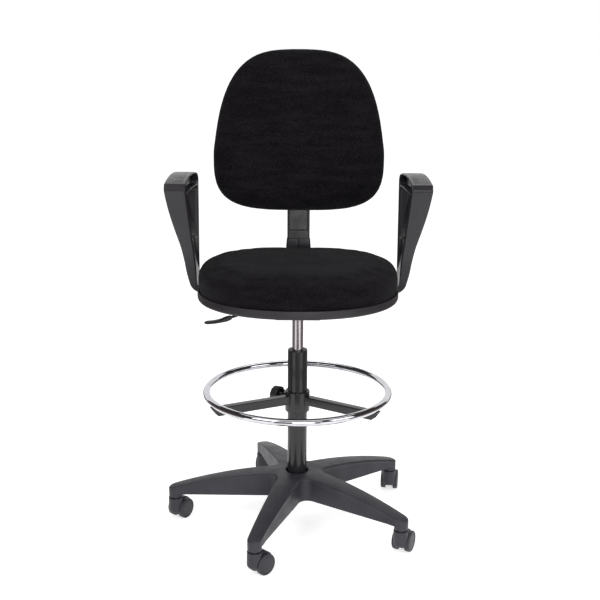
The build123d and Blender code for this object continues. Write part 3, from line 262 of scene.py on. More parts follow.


# A mask of sharp edges, along which the plastics get a painted highlight.
def edge_highlight_mask(tree, width):
    """1 along edges sharper than the width in metres and 0 on open faces: how far a bevel turns the normal."""
    bevel = wired(tree, "Bevel", {"Radius": width}, samples=4)["Normal"]
    here = wired(tree, "NewGeometry", {})["Normal"]
    facing = wired(tree, "VectorMath", {0: bevel, 1: here}, operation="DOT_PRODUCT")["Value"]
    return spread(tree, facing, 1.0, 0.0, 0.75, 0.99)


def shade(colour, share):
    """The colour made darker or lighter by a share."""
    return tuple(share * channel for channel in colour)


print("node words ready")

# %% [markdown]
# Moulded plastic
#
# The arms, the seat pan, the star base and the wheels are all black plastic from a spark-eroded mould. Close up
# that is a fine, even grain; from a step away it is a slightly blue charcoal whose gloss wanders a little. Sharp
# edges are painted paler, as a painted highlight along them. One function makes all of them, with their own colour,
# gloss and depth of grain.

# %% Plastics
GRAIN_PER_METRE, GLOSS_PER_METRE, MOTTLE_PER_METRE = 1400, 35, 14
MOTTLE_DARK, MOTTLE_LIGHT = 0.82, 1.2  # shares of the plastic's own colour
GLOSSIER, DULLER = 0.05, 0.07  # how far the roughness wanders down and up
EDGE_HIGHLIGHT_WIDTH, EDGE_HIGHLIGHT_SHARE = 0.0012, 0.9  # width of the painted edge highlight, and how much paler it paints the edge
PLASTICS = {  # colour, roughness, depth of the grain in metres, specular level
    "arm_plastic": ((0.0168, 0.0147, 0.0188), 0.3, 0.0001, 0.33),
    "shell_plastic": ((0.019, 0.0168, 0.0203), 0.46, 0.00014, 0.4),
    "base_plastic": ((0.035, 0.0345, 0.043), 0.44, 0.00012, 0.34),
    "wheel_plastic": ((0.034, 0.0335, 0.041), 0.42, 0.00008, 0.34),
    "slide_plastic": ((0.022, 0.022, 0.022), 0.35, 0.00005, 0.5),
    "rubber": ((0.018, 0.018, 0.018), 0.75, 0.0002, 0.3),
}


def moulded(name, colour, roughness, grain, mirror):
    """Grained plastic: mottled colour, wandering roughness, paler edges, and a bump of the grain's depth."""
    made, tree, shader = new_finish(name, {"Specular IOR Level": mirror})
    mottle = spread(tree, cloud(tree, MOTTLE_PER_METRE, 4), 0, 1)
    # Random mottle plus a painted highlight: sharp edges are painted paler.
    mottle_and_edge_highlight = added(tree, mottle, edge_highlight_mask(tree, EDGE_HIGHLIGHT_WIDTH), EDGE_HIGHLIGHT_SHARE)
    wander = cloud(tree, GLOSS_PER_METRE, 3)
    feed(tree, shader, {"Base Color": tinted(tree, mottle_and_edge_highlight, shade(colour, MOTTLE_DARK), shade(colour, MOTTLE_LIGHT)),
                        "Roughness": spread(tree, wander, roughness - GLOSSIER, roughness + DULLER),
                        "Normal": raised(tree, cloud(tree, GRAIN_PER_METRE, 1), grain)})
    return made


finishes = {name: moulded(name, *numbers) for name, numbers in PLASTICS.items()}
print("plastics:", ", ".join(PLASTICS))

# %% [markdown]
# Metals and wood
#
# The ring and the gas lift are chromed: nearly a mirror, with faint haze that keeps it from looking like glass. The
# lift is ground after plating, so that it slides, and is a little duller. The column and the spokes are powder
# coated, which flows into a shallow orange peel before it sets. Screws and pins are zinc plated, dull and a little
# streaky, and the hidden boards are plywood with their plies on edge.

# %% Bare metals
HAZE_PER_METRE, STREAKS_PER_METRE = 60, 220
METALS = {  # darkest and lightest colour, lowest and highest roughness, stretch of the streaks
    "chrome": ((0.55, 0.55, 0.58), (0.65, 0.65, 0.69), 0.03, 0.08, (1, 1, 0.3)),
    "ground_chrome": ((0.43, 0.405, 0.425), (0.5, 0.475, 0.5), 0.13, 0.16, (1, 1, 0.3)),
    "bright_steel": ((0.5, 0.5, 0.49), (0.66, 0.66, 0.64), 0.28, 0.45, (1, 1, 4)),
}


def polished(name, dark, light, low, high, streak):
    """Bare metal: a metal shader with hazy colour and streaked roughness between low and high."""
    made, tree, shader = new_finish(name, {"Metallic": 1.0})
    haze = spread(tree, cloud(tree, HAZE_PER_METRE, 3, streak), 0, 1)
    streaks = cloud(tree, STREAKS_PER_METRE, 2, streak)
    feed(tree, shader, {"Base Color": tinted(tree, haze, dark, light), "Roughness": spread(tree, streaks, low, high)})
    return made


for name, numbers in METALS.items():
    finishes[name] = polished(name, *numbers)
print("metals:", ", ".join(METALS))

# %% Powder coat and plywood
COAT_PER_METRE, PEEL_PER_METRE, PEEL_DEPTH = 20, 240, 0.000004
COAT_ROUGHNESS = (0.17, 0.22)
COAT_DARK, COAT_LIGHT = (0.0135, 0.013, 0.0147), (0.0185, 0.018, 0.02)
PLY_SCALE, PLY_WAVER = 120, 0.6
FIBRE_PER_METRE, FIBRE_STRETCH, FIBRE_SHARE, FIBRE_DEPTH = 90, (6, 0.6, 6), 0.6, 0.0003
PLY_DARK, PLY_LIGHT = (0.42, 0.28, 0.15), (0.66, 0.5, 0.32)

finishes["black_steel"], tree, shader = new_finish("black_steel", {"Specular IOR Level": 0.45})
peel = cloud(tree, PEEL_PER_METRE)
drift = spread(tree, cloud(tree, COAT_PER_METRE, 4), 0, 1)
feed(tree, shader, {"Base Color": tinted(tree, drift, COAT_DARK, COAT_LIGHT),
                    "Roughness": spread(tree, peel, *COAT_ROUGHNESS), "Normal": raised(tree, peel, PEEL_DEPTH)})

finishes["plywood"], tree, shader = new_finish("plywood", {"Roughness": 0.7})
where = wired(tree, "TexCoord", {})["Object"]
plies = wired(tree, "TexWave", {"Vector": where, "Scale": PLY_SCALE, "Distortion": PLY_WAVER}, bands_direction="Z")
fibre = added(tree, plies["Fac"], cloud(tree, FIBRE_PER_METRE, 4, FIBRE_STRETCH), FIBRE_SHARE)
feed(tree, shader, {"Base Color": tinted(tree, spread(tree, fibre, 0, 1, 0.2, 1.3), PLY_DARK, PLY_LIGHT),
                    "Normal": raised(tree, fibre, FIBRE_DEPTH)})
print("powder coat and plywood: peel of %.0e m" % PEEL_DEPTH)

# %% [markdown]
# The upholstery
#
# The cushions wear a short-pile velour, close to black. Two things give it away in a photograph: a fine sparkle
# of pile tips, and soft brush marks where a hand has laid the pile over. Sheen lights the pile at the edges of the
# form, where we look along it.

# %% Velour
PILE_PER_METRE, FLECK_PER_METRE, BRUSH_PER_METRE = 1500, 420, 24
FLECK_STRETCH, BRUSH_STRETCH = (0.55, 1, 1.3), (0.5, 1.6, 2.4)
VELOUR_DARK, VELOUR_LIGHT = (0.0022, 0.0018, 0.0023), (0.0225, 0.02, 0.0232)
PILE_DEPTH, PILE_STRENGTH = 0.0006, 0.7

finishes["seat_fabric"], tree, shader = new_finish("seat_fabric", {
    "Roughness": 0.95, "Specular IOR Level": 0.05, "Sheen Weight": 0.085, "Sheen Roughness": 0.36,
    "Sheen Tint": (0.6, 0.58, 0.62, 1)})
tips = spread(tree, cloud(tree, PILE_PER_METRE, 2), 0, 1, 0.42, 0.72)
flecks = spread(tree, cloud(tree, FLECK_PER_METRE, 3, FLECK_STRETCH), 0, 1, 0.46, 0.7)
brushed = spread(tree, cloud(tree, BRUSH_PER_METRE, 5, BRUSH_STRETCH), 0, 1, 0.4, 0.66)
laid = added(tree, added(tree, tips, flecks, 1.2), brushed, 0.5)
pile = added(tree, added(tree, tips, flecks, 0.8), brushed, 0.8)
feed(tree, shader, {"Base Color": tinted(tree, spread(tree, laid, 0, 1, 0, 2.4), VELOUR_DARK, VELOUR_LIGHT),
                    "Normal": raised(tree, pile, PILE_DEPTH, PILE_STRENGTH)})
print("velour: %d tips to the metre" % PILE_PER_METRE)

# %% [markdown]
# Dressing the measured model
#
# Each node of the frame names the finish it is made in, so one loop dresses the whole measured chair. The nodes
# whose real shape is richer than that model are replaced below by pieces of their own.

# %% Every CAD node takes the finish of its slot
slots = {part["node"]: part["material_slot"] for part in frame["record"]["subparts"]}
for name, node in nodes.items():
    for coat in node.material_slots:
        coat.material = finishes[slots[name]]
print("finishes on", len(nodes), "nodes")

# %% [markdown]
# Surfaces from numbers
#
# Most pieces could be modelled by hand from cylinders and boxes, but then their sizes live in the mouse. Here a
# piece is one or more grids of points, worked out as whole arrays: a profile turned about an axis, a section
# carried along a path, or a formula in two parameters. One function turns the grids into a closed mesh.

# %% From grids to a piece
WELD = 2e-6  # points closer than this are one point, which closes seams and poles
CREASE = 40  # degrees, past which an edge stays sharp


def joined(name, sheets):
    """One mesh from grids of points: a quad between each four neighbours, seams and poles merged."""
    faces, start = [], 0
    for sheet in sheets:
        index = start + np.arange(sheet[..., 0].size).reshape(sheet.shape[:2])
        corners = (index[:-1, :-1], index[:-1, 1:], index[1:, 1:], index[1:, :-1])
        faces.append(np.stack(corners, axis=-1).reshape(-1, 4))
        start += index.size
    mesh = bpy.data.meshes.new(name)
    points = np.concatenate([sheet.reshape(-1, 3) for sheet in sheets])
    mesh.from_pydata(points.tolist(), [], np.concatenate(faces).tolist())
    work = bmesh.new()
    work.from_mesh(mesh)
    bmesh.ops.remove_doubles(work, verts=work.verts, dist=WELD)
    bmesh.ops.dissolve_degenerate(work, edges=work.edges, dist=WELD)
    bmesh.ops.recalc_face_normals(work, faces=work.faces)
    work.to_mesh(mesh)
    work.free()
    return mesh


def place(name, mesh, slot, body, stands_for, crease=CREASE):
    """Put a mesh on its body as a finished piece, in place of the CAD nodes that it stands for."""
    mesh.shade_smooth()
    mesh.set_sharp_from_angle(angle=np.radians(crease))
    mesh.materials.append(finishes[slot])
    made = bpy.data.objects.new(name, mesh)
    bpy.context.scene.collection.objects.link(made)
    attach(made, body)
    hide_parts(*stands_for)
    print("%s: %d faces" % (name, len(mesh.polygons)))
    return made


def piece(name, sheets, slot, body, *stands_for):
    """A finished piece straight from its grids."""
    return place(name, joined(name, sheets), slot, body, stands_for)


print("grids become meshes with a weld of %.0e m" % WELD)

# %% Circles, and outlines with rounded corners


def unit(vectors):
    """Vectors scaled to length 1."""
    return vectors / np.linalg.norm(vectors, axis=-1, keepdims=True)


def whole_turn(steps):
    """Angles once round in so many steps, with the first place met again at the end."""
    return np.linspace(0, 2 * np.pi, steps + 1)


def quarter_turn(steps):
    """Angles from 0 to a right angle in so many steps."""
    return np.linspace(0, np.pi / 2, steps + 1)


def polar(radius, angle):
    """Points (radius cos, radius sin) of a circle or an arc."""
    return np.stack([radius * np.cos(angle), radius * np.sin(angle)], axis=-1)


def softened(corners, reach, steps=7):
    """Open line whose inner corners are quadratic curves, from a reach before the corner to a reach after."""
    corners = np.asarray(corners, float)
    before, here, after = corners[:-2], corners[1:-1], corners[2:]
    reach = np.broadcast_to(reach, len(here))[:, None]
    start, end = here + reach * unit(before - here), here + reach * unit(after - here)
    t = np.linspace(0, 1, steps)[None, :, None]
    curve = (1 - t) ** 2 * start[:, None] + 2 * t * (1 - t) * here[:, None] + t ** 2 * end[:, None]
    return np.concatenate([corners[:1], curve.reshape(-1, corners.shape[1]), corners[-1:]])


def rounded(corners, reach, steps=7):
    """Closed outline with every corner softened, and its first point repeated at its end."""
    corners = np.asarray(corners, float)
    curve = softened(np.concatenate([corners[-1:], corners, corners[:1]]), reach, steps)[1:-1]
    return np.concatenate([curve, curve[:1]])


def smooth_through(at, knots, values):
    """Cubic through the knots: each span keeps its end values and the mean slope of its neighbours."""
    knots, values = np.asarray(knots, float), np.asarray(values, float)
    slope = np.gradient(values, knots)
    at = np.clip(at, knots[0], knots[-1])
    k = np.clip(np.searchsorted(knots, at) - 1, 0, len(knots) - 2)
    width = knots[k + 1] - knots[k]
    t = (at - knots[k]) / width
    start = values[k] * (1 + 2 * t) * (1 - t) ** 2 + slope[k] * width * t * (1 - t) ** 2
    return start + values[k + 1] * t ** 2 * (3 - 2 * t) - slope[k + 1] * width * t ** 2 * (1 - t)


def ramp(value, start, end):
    """0 before start, 1 after end, and a smooth step between."""
    t = np.clip((value - start) / (end - start), 0, 1)
    return t * t * (3 - 2 * t)


print("corners become curves")

# %% Turned and swept surfaces
TURNS = 96


def lathe(profile, origin, axis, turns=TURNS, wave=0.0):
    """Turn (along, radius) points about an axis: origin + along * axis + radius * (1 + wave) * (cos, sin)."""
    axis = unit(np.asarray(axis, float))
    side = unit(np.cross(axis, (0, 0, 1) if abs(axis[2]) < 0.9 else (1, 0, 0)))
    turn = whole_turn(turns)
    round_about = np.cos(turn)[:, None] * side + np.sin(turn)[:, None] * np.cross(axis, side)
    along, radius = np.asarray(profile, float).T[:, :, None]
    radius = radius * (1 + wave)
    return np.asarray(origin) + along[..., None] * axis + radius[..., None] * round_about[None]


def swung(points, angle):
    """Points turned about the Z axis: (x cos - y sin, x sin + y cos, z)."""
    x, y, z = np.moveaxis(points, -1, 0)
    return np.stack([x * np.cos(angle) - y * np.sin(angle), x * np.sin(angle) + y * np.cos(angle), z], axis=-1)


def sweep(path, section, up):
    """Carry (across, up) section points along a path; the section stays square to the path."""
    along = unit(np.gradient(path, axis=0))
    side = unit(np.cross(along, up))
    over = np.cross(side, along)
    section = np.broadcast_to(section, (len(path),) + np.shape(section)[-2:])
    return path[:, None] + section[..., :1] * side[:, None] + section[..., 1:] * over[:, None]


def capped(sheet):
    """The grid with a point at the middle of its first and of its last row, repeated along the row."""
    ends = [np.broadcast_to(row.mean(axis=0), row.shape)[None] for row in (sheet[0], sheet[-1])]
    return np.concatenate([ends[0], sheet, ends[1]])


print("profiles turn in %d steps" % TURNS)

# %% [markdown]
# Column, guide and gas lift
#
# Three tubes inside each other. The powder-coated column stands in the base, a plastic guide closes its mouth
# with a rounded lip, and the chromed cylinder slides in the guide. They are turned profiles, with the rims
# rounded over as a tube mill leaves them.

# %% Column, guide bush and gas cylinder
FOOT, UP = (0, 0, 0), (0, 0, 1)
RIM = 0.0009
COLUMN_WALL = 0.002
SLIDE_GAP = 0.0001  # between pieces that slide in each other


def reach(node):
    """Lowest and highest point of a node and half its width across X."""
    low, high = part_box(node)
    return low.z, high.z, (high.x - low.x) / 2


def tube(low, high, outer, inner):
    """Corners of a tube's (along, radius) outline."""
    return [(low, inner), (low, outer), (high, outer), (high, inner)]


def turned_piece(name, corners, rounding, slot, body, node):
    """A piece whose (height, radius) corners are rounded and turned about the column's axis."""
    return piece(name, [lathe(rounded(corners, rounding), FOOT, UP)], slot, body, node)


column_low, column_top, column_radius = reach("column_tube")
turned_piece("column", tube(column_low, column_top, column_radius, column_radius - COLUMN_WALL), RIM, "black_steel",
             "base", "column_tube")

lift_low, lift_top, lift_radius = reach("gas_cylinder")
bush_low, bush_top, lip_radius = reach("guide_bush")
bush_bore, bush_radius = lift_radius + SLIDE_GAP, column_radius - COLUMN_WALL - SLIDE_GAP
lip_low = column_top + SLIDE_GAP
bush_corners = [(bush_low, bush_bore), (bush_low, bush_radius), (lip_low, bush_radius), (lip_low, lip_radius),
                (bush_top, lip_radius), (bush_top, bush_bore)]
bush_rounding = (0.0005, 0.0005, 0.0003, 0.0004, 0.0022, 0.0006)
turned_piece("column_lip", bush_corners, bush_rounding, "slide_plastic", "base", "guide_bush")

LIFT_WALL, VALVE_BORE, PLUG = 0.0015, 0.00305, 0.047
lift_bore = lift_radius - LIFT_WALL
lift_corners = [(lift_low, lift_bore), (lift_low, lift_radius), (lift_top, lift_radius), (lift_top, VALVE_BORE),
                (lift_top - PLUG, VALVE_BORE), (lift_top - PLUG, lift_bore)]
gas_lift = turned_piece("gas_lift", lift_corners, RIM / 2, "chrome", "seat", "gas_cylinder")
gas_lift.data.materials[0] = finishes["ground_chrome"]

# %% [markdown]
# The foot ring
#
# A chromed tube bent into a circle and screwed to three square spokes, which are welded to a collar on the
# column. The ring is a circle turned about the column. A spoke is a rounded square tube whose outer end is cut
# on the slant, so its length depends on the height of the point: the section is the grid's one direction and the
# run from collar to end, over the rim and back inside, is the other.

# %% Ring and spokes
TUBE_STEPS, RING_STEPS = 32, 240
ring_low, ring_high, ring_reach = reach("foot_ring_tube")
RING_TUBE = (ring_high - ring_low) / 2
ring_middle = (ring_low + ring_high) / 2
ring_section = (ring_middle, ring_reach - RING_TUBE) + polar(RING_TUBE, whole_turn(TUBE_STEPS))[:, ::-1]
piece("foot_ring", [lathe(ring_section, FOOT, UP, RING_STEPS)], "chrome", "foot_ring", "foot_ring_tube")

SPOKE_ANGLES = np.radians((87, 207, 327))
SPOKE_START, SPOKE_END = 0.0295, ring_reach - RING_TUBE + 0.008
SPOKE_WALL, SPOKE_SLANT, SPOKE_STEPS = 0.0015, 0.017, 12
SPOKE_ROUND, SPOKE_ROUND_INSIDE = 0.0028, 0.0016
spoke_low, spoke_high, _ = reach("ring_spokes")
spoke_half = (spoke_high - spoke_low) / 2


def spoke(angle):
    """Square tube along an angle: outside from collar to slanted end, then back along the inside."""
    square = np.array([(-1, -1), (1, -1), (1, 1), (-1, 1)])
    outside = rounded(square * spoke_half, SPOKE_ROUND, 6)
    inside = rounded(square * (spoke_half - SPOKE_WALL), SPOKE_ROUND_INSIDE, 6)
    run = np.linspace(0, 1, SPOKE_STEPS)
    rows = np.concatenate([run, [1.0], run[::-1], [0.0]])
    inward = np.concatenate([0 * run, [0.0], np.ones(SPOKE_STEPS), [0.0]])
    section = outside + inward[:, None, None] * (inside - outside)
    end = SPOKE_END - SPOKE_SLANT * (spoke_half - section[..., 1]) / (2 * spoke_half)
    along = SPOKE_START + rows[:, None] * (end - SPOKE_START)
    height = (spoke_low + spoke_high) / 2 + section[..., 1]
    return swung(np.stack([along, section[..., 0], height], axis=-1), angle)


piece("spokes", [spoke(angle) for angle in SPOKE_ANGLES], "black_steel", "foot_ring", "ring_spokes")

# %% Collar and sleeve
collar_low, collar_top, collar_radius = reach("ring_collar")
sleeve_low, sleeve_top, _ = reach("collar_sleeve")
COLLAR_BORE, SLEEVE_BORE, SLEEVE_LIP = column_radius + 0.002, column_radius + SLIDE_GAP, column_radius + 0.0012
turned_piece("collar", tube(collar_low, collar_top, collar_radius, COLLAR_BORE), (0.001, 0.0018, 0.002, 0.001),
             "black_steel", "foot_ring", "ring_collar")
lip_top, sleeve_outside = collar_low - 0.0002, COLLAR_BORE - SLIDE_GAP
sleeve_corners = [(sleeve_low, SLEEVE_BORE), (sleeve_low, SLEEVE_LIP), (lip_top, SLEEVE_LIP),
                  (lip_top, sleeve_outside), (sleeve_top, sleeve_outside), (sleeve_top, SLEEVE_BORE)]
turned_piece("sleeve", sleeve_corners, 0.0004, "slide_plastic", "foot_ring", "collar_sleeve")

# %% [markdown]
# The clamp knob
#
# A fluted hand knob on a stud, hollow on the side of the column to save plastic. Its rim is a turned profile
# whose radius is multiplied by a wave: a row of round scallops, as fingers want them. Only the outer wall waves,
# so the wave is weighted by how far out each profile point lies.

# %% Clamp knob
clamp = joints["clamp_turn"]
clamp_foot = (0, 0, clamp["pos_m"][2])
KNOB_NEAR, KNOB_FAR, KNOB_RADIUS, KNOB_DOME = 0.0525, 0.0725, 0.023, 0.0004
KNOB_WALL, HUB_RADIUS, STUD_RADIUS = 0.004, 0.009, 0.004
STUD_START = column_radius + 0.0005
LOBES, FLUTE, KNOB_STEPS = 10, 0.085, 240
knob_corners = [(STUD_START, 0), (STUD_START, STUD_RADIUS), (KNOB_NEAR, STUD_RADIUS), (KNOB_NEAR, HUB_RADIUS),
                (KNOB_FAR - KNOB_WALL, HUB_RADIUS), (KNOB_FAR - KNOB_WALL, KNOB_RADIUS - 0.0062),
                (KNOB_NEAR, KNOB_RADIUS - 0.0052), (KNOB_NEAR, KNOB_RADIUS), (KNOB_FAR, KNOB_RADIUS - 0.0008),
                (KNOB_FAR + KNOB_DOME, 0.004), (KNOB_FAR + KNOB_DOME, 0)]
knob_rounding = (0.0005, 0.0005, 0.001, 0.0015, 0.0015, 0.0008, 0.0016, 0.0028, 0.001)
knob_outline = softened(knob_corners, knob_rounding, 8)
scallop = -FLUTE * (0.5 + 0.5 * np.cos(LOBES * whole_turn(KNOB_STEPS))) ** 3
outer_share = ramp(knob_outline[:, 1], KNOB_RADIUS - 0.004, KNOB_RADIUS - 0.001)
piece("hand_knob", [lathe(knob_outline, clamp_foot, clamp["axis"], KNOB_STEPS, outer_share[:, None] * scallop)],
      "shell_plastic", "clamp_knob", "clamp_knob")

# %% [markdown]
# The caster wheels
#
# Each wheel is a thin disc of hard plastic with a rounded tread, a shallow groove that marks off the tread and
# a faintly domed cap. That is one profile, turned ten times about the ten wheel axes, which the frame gives.

# %% Wheels
WHEEL_RADIUS, WHEEL_NEAR, WHEEL_FAR = 0.0265, 0.0103, 0.0233
AXLE_BORE, AXLE_END, WHEEL_STEPS = 0.00405, 0.0196, 72
wheel_corners = [(AXLE_END, 0), (AXLE_END, AXLE_BORE), (WHEEL_NEAR, AXLE_BORE), (WHEEL_NEAR, 0.008),
                 (WHEEL_NEAR + 0.001, 0.0095), (WHEEL_NEAR + 0.001, 0.0215), (WHEEL_NEAR, 0.0225),
                 (WHEEL_NEAR, WHEEL_RADIUS), (WHEEL_FAR - 0.0005, WHEEL_RADIUS), (WHEEL_FAR - 0.0005, 0.0222),
                 (WHEEL_FAR - 0.0017, 0.0214), (WHEEL_FAR - 0.0017, 0.0206), (WHEEL_FAR - 0.0006, 0.0198),
                 (WHEEL_FAR - 0.0002, 0.012), (WHEEL_FAR, 0.003), (WHEEL_FAR, 0)]
wheel_rounding = (0.0005, 0.0005, 0.0006, 0.0006, 0.0005, 0.0005, 0.0012, 0.0032, 0.0007, 0.0004, 0.0004, 0.0006,
                  0.003, 0.001)
wheel_outline = softened(wheel_corners, wheel_rounding, 6)
for number in range(1, 6):
    for hand, side in (("left", 1), ("right", -1)):
        wheel = f"wheel_{hand}_{number}"
        roll = joints[f"wheel_roll_{hand}_{number}"]
        disc = lathe(wheel_outline, roll["pos_m"], side * np.array(roll["axis"], float), WHEEL_STEPS)
        piece(wheel, [disc], "wheel_plastic", wheel, f"caster_{wheel}")

# %% [markdown]
# The star base
#
# One big moulding: five arched legs that run into a hub, hollow underneath. The top of each leg overhangs its sides
# by a small ledge, and where the ribs inside pull at the wall as the plastic cools, faint sink marks show outside.
# The grid follows the star's outline one way. The other way it goes over the top, round the shoulder, down the
# sunk side and up again inside, so the whole star is one skin. Half a leg is worked out in the leg's own plane,
# s along it and w across, then mirrored and turned.

# %% Half a leg from above
LEG_COUNT, LEG_FIRST, LEG_HALF, LEG_CREST = 5, 180, 0.030, 0.060
STEM_AT, BOSS_RADIUS, VALLEY = 0.318, 0.0175, 0.022
MOUTH, MOUTH_EDGE, HUB_TUBE = 0.030, 0.0015, 0.034
VALLEY_STEPS, LEG_STEPS, TIP_STEPS = 12, 50, 12
half_turn = np.pi / LEG_COUNT


def leg_middle(radius):
    """Plan points inside the outline: round the hub at a radius, out along the leg's middle, and held at the stem."""
    hub = polar(radius, np.linspace(half_turn, 0, VALLEY_STEPS + 1))
    spine = np.stack([np.linspace(radius, STEM_AT, LEG_STEPS + 1)[1:], np.zeros(LEG_STEPS)], axis=1)
    return np.concatenate([hub, spine, np.repeat(spine[-1:], TIP_STEPS, axis=0)])


valley_middle = (LEG_HALF + VALLEY) / np.sin(half_turn) * polar(1, half_turn)
valley_turn = np.linspace(np.pi + half_turn, 1.5 * np.pi, VALLEY_STEPS + 1)
tip_turn = np.linspace(np.pi / 2, 0, TIP_STEPS + 1)[1:]
side_start, side_end = valley_middle - (0, VALLEY), np.array((STEM_AT, BOSS_RADIUS))
side_line = side_start + np.linspace(0, 1, LEG_STEPS + 1)[1:, None] * (side_end - side_start)
side_normal = unit((side_end - side_start)[::-1] * (-1, 1))
leg_line = np.concatenate([valley_middle + polar(VALLEY, valley_turn), side_line,
                           (STEM_AT, 0) + polar(BOSS_RADIUS, tip_turn)])
leg_normal = np.concatenate([-polar(1, valley_turn), np.repeat(side_normal[None], LEG_STEPS, axis=0),
                             polar(1, tip_turn)])
print("half a leg: %d columns" % len(leg_line))

# %% The leg's heights and sunk sides
base_low, hub_top, _ = reach("five_star_base")
leg_tip = STEM_AT + BOSS_RADIUS
ARCH_SAG, TIP_HIGH = 0.016, 0.027
ARCH = np.polyfit((LEG_CREST, (LEG_CREST + leg_tip) / 2, leg_tip),
                  (hub_top, hub_top - ARCH_SAG, base_low + TIP_HIGH), 2)
UNDER_ROOT, UNDER_TIP = base_low + 0.015, base_low + 0.009
PANEL_IN, PANEL_DRAFT, PANEL_END = 0.0023, 0.0008, (0.285, 0.306)
SINK_AT, SINK_DEPTH, SINK_WIDTH = np.array((0.128, 0.192, 0.258)), 0.0005, 0.004


def crest(s):
    """Height of the leg's top: level over the hub, then an arch."""
    return np.where(s < LEG_CREST, hub_top, np.polyval(ARCH, s))


along = leg_line[:, 0]
sunk = PANEL_IN * (1 - ramp(along, *PANEL_END))
sink = SINK_DEPTH * np.exp(-((along[:, None] - SINK_AT) / SINK_WIDTH) ** 2).sum(axis=1)
under = UNDER_ROOT + (UNDER_TIP - UNDER_ROOT) * along / leg_tip
print("leg: %.0f mm high at its tip" % (1000 * (crest(leg_tip) - UNDER_TIP)))

# %% The leg's skin, from the top over the edge to the inside
CROWN, SHOULDER, SHOULDER_DROP = 0.0012, 0.0048, 0.0042
LEDGE_DROP = SHOULDER_DROP + np.array((0.0020, 0.0027, 0.0033, 0.0040))
LEDGE_IN = np.array((0.0, 0.15, 0.85, 1.0))
BASE_WALL, BASE_ROOF, BASE_EDGE = 0.0045, 0.0055, 0.0008
TOP_SHARES, ROOF_SHARES = (0, 0.2, 0.4, 0.6, 0.8, 0.93), (0.25, 0.5, 0.75, 1)
SHOULDER_STEPS, PANEL_ROWS = 6, 8

top_share = np.array(TOP_SHARES)[:, None, None]
top_in, shoulder_line = leg_middle(MOUTH + MOUTH_EDGE), leg_line - SHOULDER * leg_normal
top_plan = top_in + top_share * (shoulder_line - top_in)
top_height = crest(top_plan[..., 0]) - CROWN * top_share[..., 0] ** 2

over = quarter_turn(SHOULDER_STEPS)[:, None]
edge_off = np.concatenate([-SHOULDER * (1 - np.sin(over)) + 0 * along, -LEDGE_IN[:, None] * sunk])
edge_drop = np.concatenate([SHOULDER_DROP * (1 - np.cos(over)), LEDGE_DROP[:, None]])
edge_plan = leg_line + edge_off[..., None] * leg_normal
edge_height = crest(edge_plan[..., 0]) - CROWN - edge_drop

down = np.linspace(0, 1, PANEL_ROWS + 1)[1:, None]
panel_off = -sunk + PANEL_DRAFT * down * sunk / PANEL_IN - sink * np.sin(np.pi * down)
panel_height = edge_height[-1] + down * (under + BASE_EDGE - edge_height[-1])
turn_off = panel_off[-1] - np.array((BASE_EDGE, BASE_WALL - BASE_EDGE, BASE_WALL))[:, None]
turn_height = under + np.array((0, 0, BASE_EDGE))[:, None]
wall_plan = leg_line + np.concatenate([panel_off, turn_off, turn_off[-1:]])[..., None] * leg_normal
wall_height = np.concatenate([panel_height, turn_height, crest(wall_plan[-1:, :, 0]) - BASE_ROOF])

roof_plan = wall_plan[-1] + np.array(ROOF_SHARES)[:, None, None] * (leg_middle(HUB_TUBE) - wall_plan[-1])
roof_height = crest(roof_plan[..., 0]) - BASE_ROOF
leg_plan = np.concatenate([top_plan, edge_plan, wall_plan, roof_plan])
leg_height = np.concatenate([top_height, edge_height, wall_height, roof_height])
half_leg = np.concatenate([leg_plan, leg_height[..., None]], axis=-1)
print("leg skin: %d rows" % len(half_leg))

# %% Five legs, the hub, the caster bosses and the ribs
HUB_BOTTOM, COLUMN_SEAT, MOUTH_DEPTH = base_low + 0.013, base_low + 0.019, 0.012
COLUMN_HOLE, COLUMN_LEDGE = column_radius + 0.00005, column_radius - 0.002
STEM_HOLE, BOSS_INNER, BOSS_OUTER = 0.00555, 0.011, BOSS_RADIUS - 0.0002
BOSS_STEP, BOSS_TOP, BOSS_STEPS = base_low + 0.0125, base_low + 0.0215, 64
RIB_HALF, RIB_IN, RIB_LIFT, RIB_ROOT = 0.0012, 0.005, 0.004, 0.001


def rib(s):
    """Thin upright plate across the leg's hollow, from a little above its lower edge into its roof."""
    half = np.interp(s, side_line[:, 0], side_line[:, 1]) - RIB_IN
    plan = (s, 0) + (RIB_HALF, half) * np.array([(-1, -1), (1, -1), (1, 1), (-1, 1), (-1, -1)])
    heights = np.array((UNDER_ROOT + RIB_LIFT, crest(s + RIB_HALF) - BASE_ROOF + RIB_ROOT))
    return capped(np.concatenate([np.repeat(plan[None], 2, axis=0), np.repeat(heights, 5).reshape(2, 5, 1)], axis=-1))


leg_angles = np.radians(LEG_FIRST + 360 / LEG_COUNT * np.arange(LEG_COUNT))
whole_leg = np.concatenate([half_leg * (1, -1, 1), half_leg[:, -2:0:-1]], axis=1)
star = np.concatenate([swung(whole_leg, angle) for angle in leg_angles], axis=1)
well_line = softened([(hub_top, MOUTH + MOUTH_EDGE), (hub_top, MOUTH), (hub_top - MOUTH_DEPTH, MOUTH),
                      (hub_top - MOUTH_DEPTH, COLUMN_HOLE), (COLUMN_SEAT, COLUMN_HOLE), (COLUMN_SEAT, COLUMN_LEDGE),
                      (HUB_BOTTOM, COLUMN_LEDGE), (HUB_BOTTOM, HUB_TUBE), (hub_top - BASE_ROOF, HUB_TUBE)],
                     (MOUTH_EDGE, 0.001, 0.0008, 0.0005, 0.0005, 0.0008, 0.0012))
well = lathe(well_line, FOOT, UP, 2 * VALLEY_STEPS * LEG_COUNT)
boss_line = rounded([(base_low, STEM_HOLE), (base_low, BOSS_OUTER), (BOSS_STEP, BOSS_OUTER),
                     (BOSS_STEP, BOSS_INNER), (BOSS_TOP, BOSS_INNER), (BOSS_TOP, STEM_HOLE)], 0.0006)
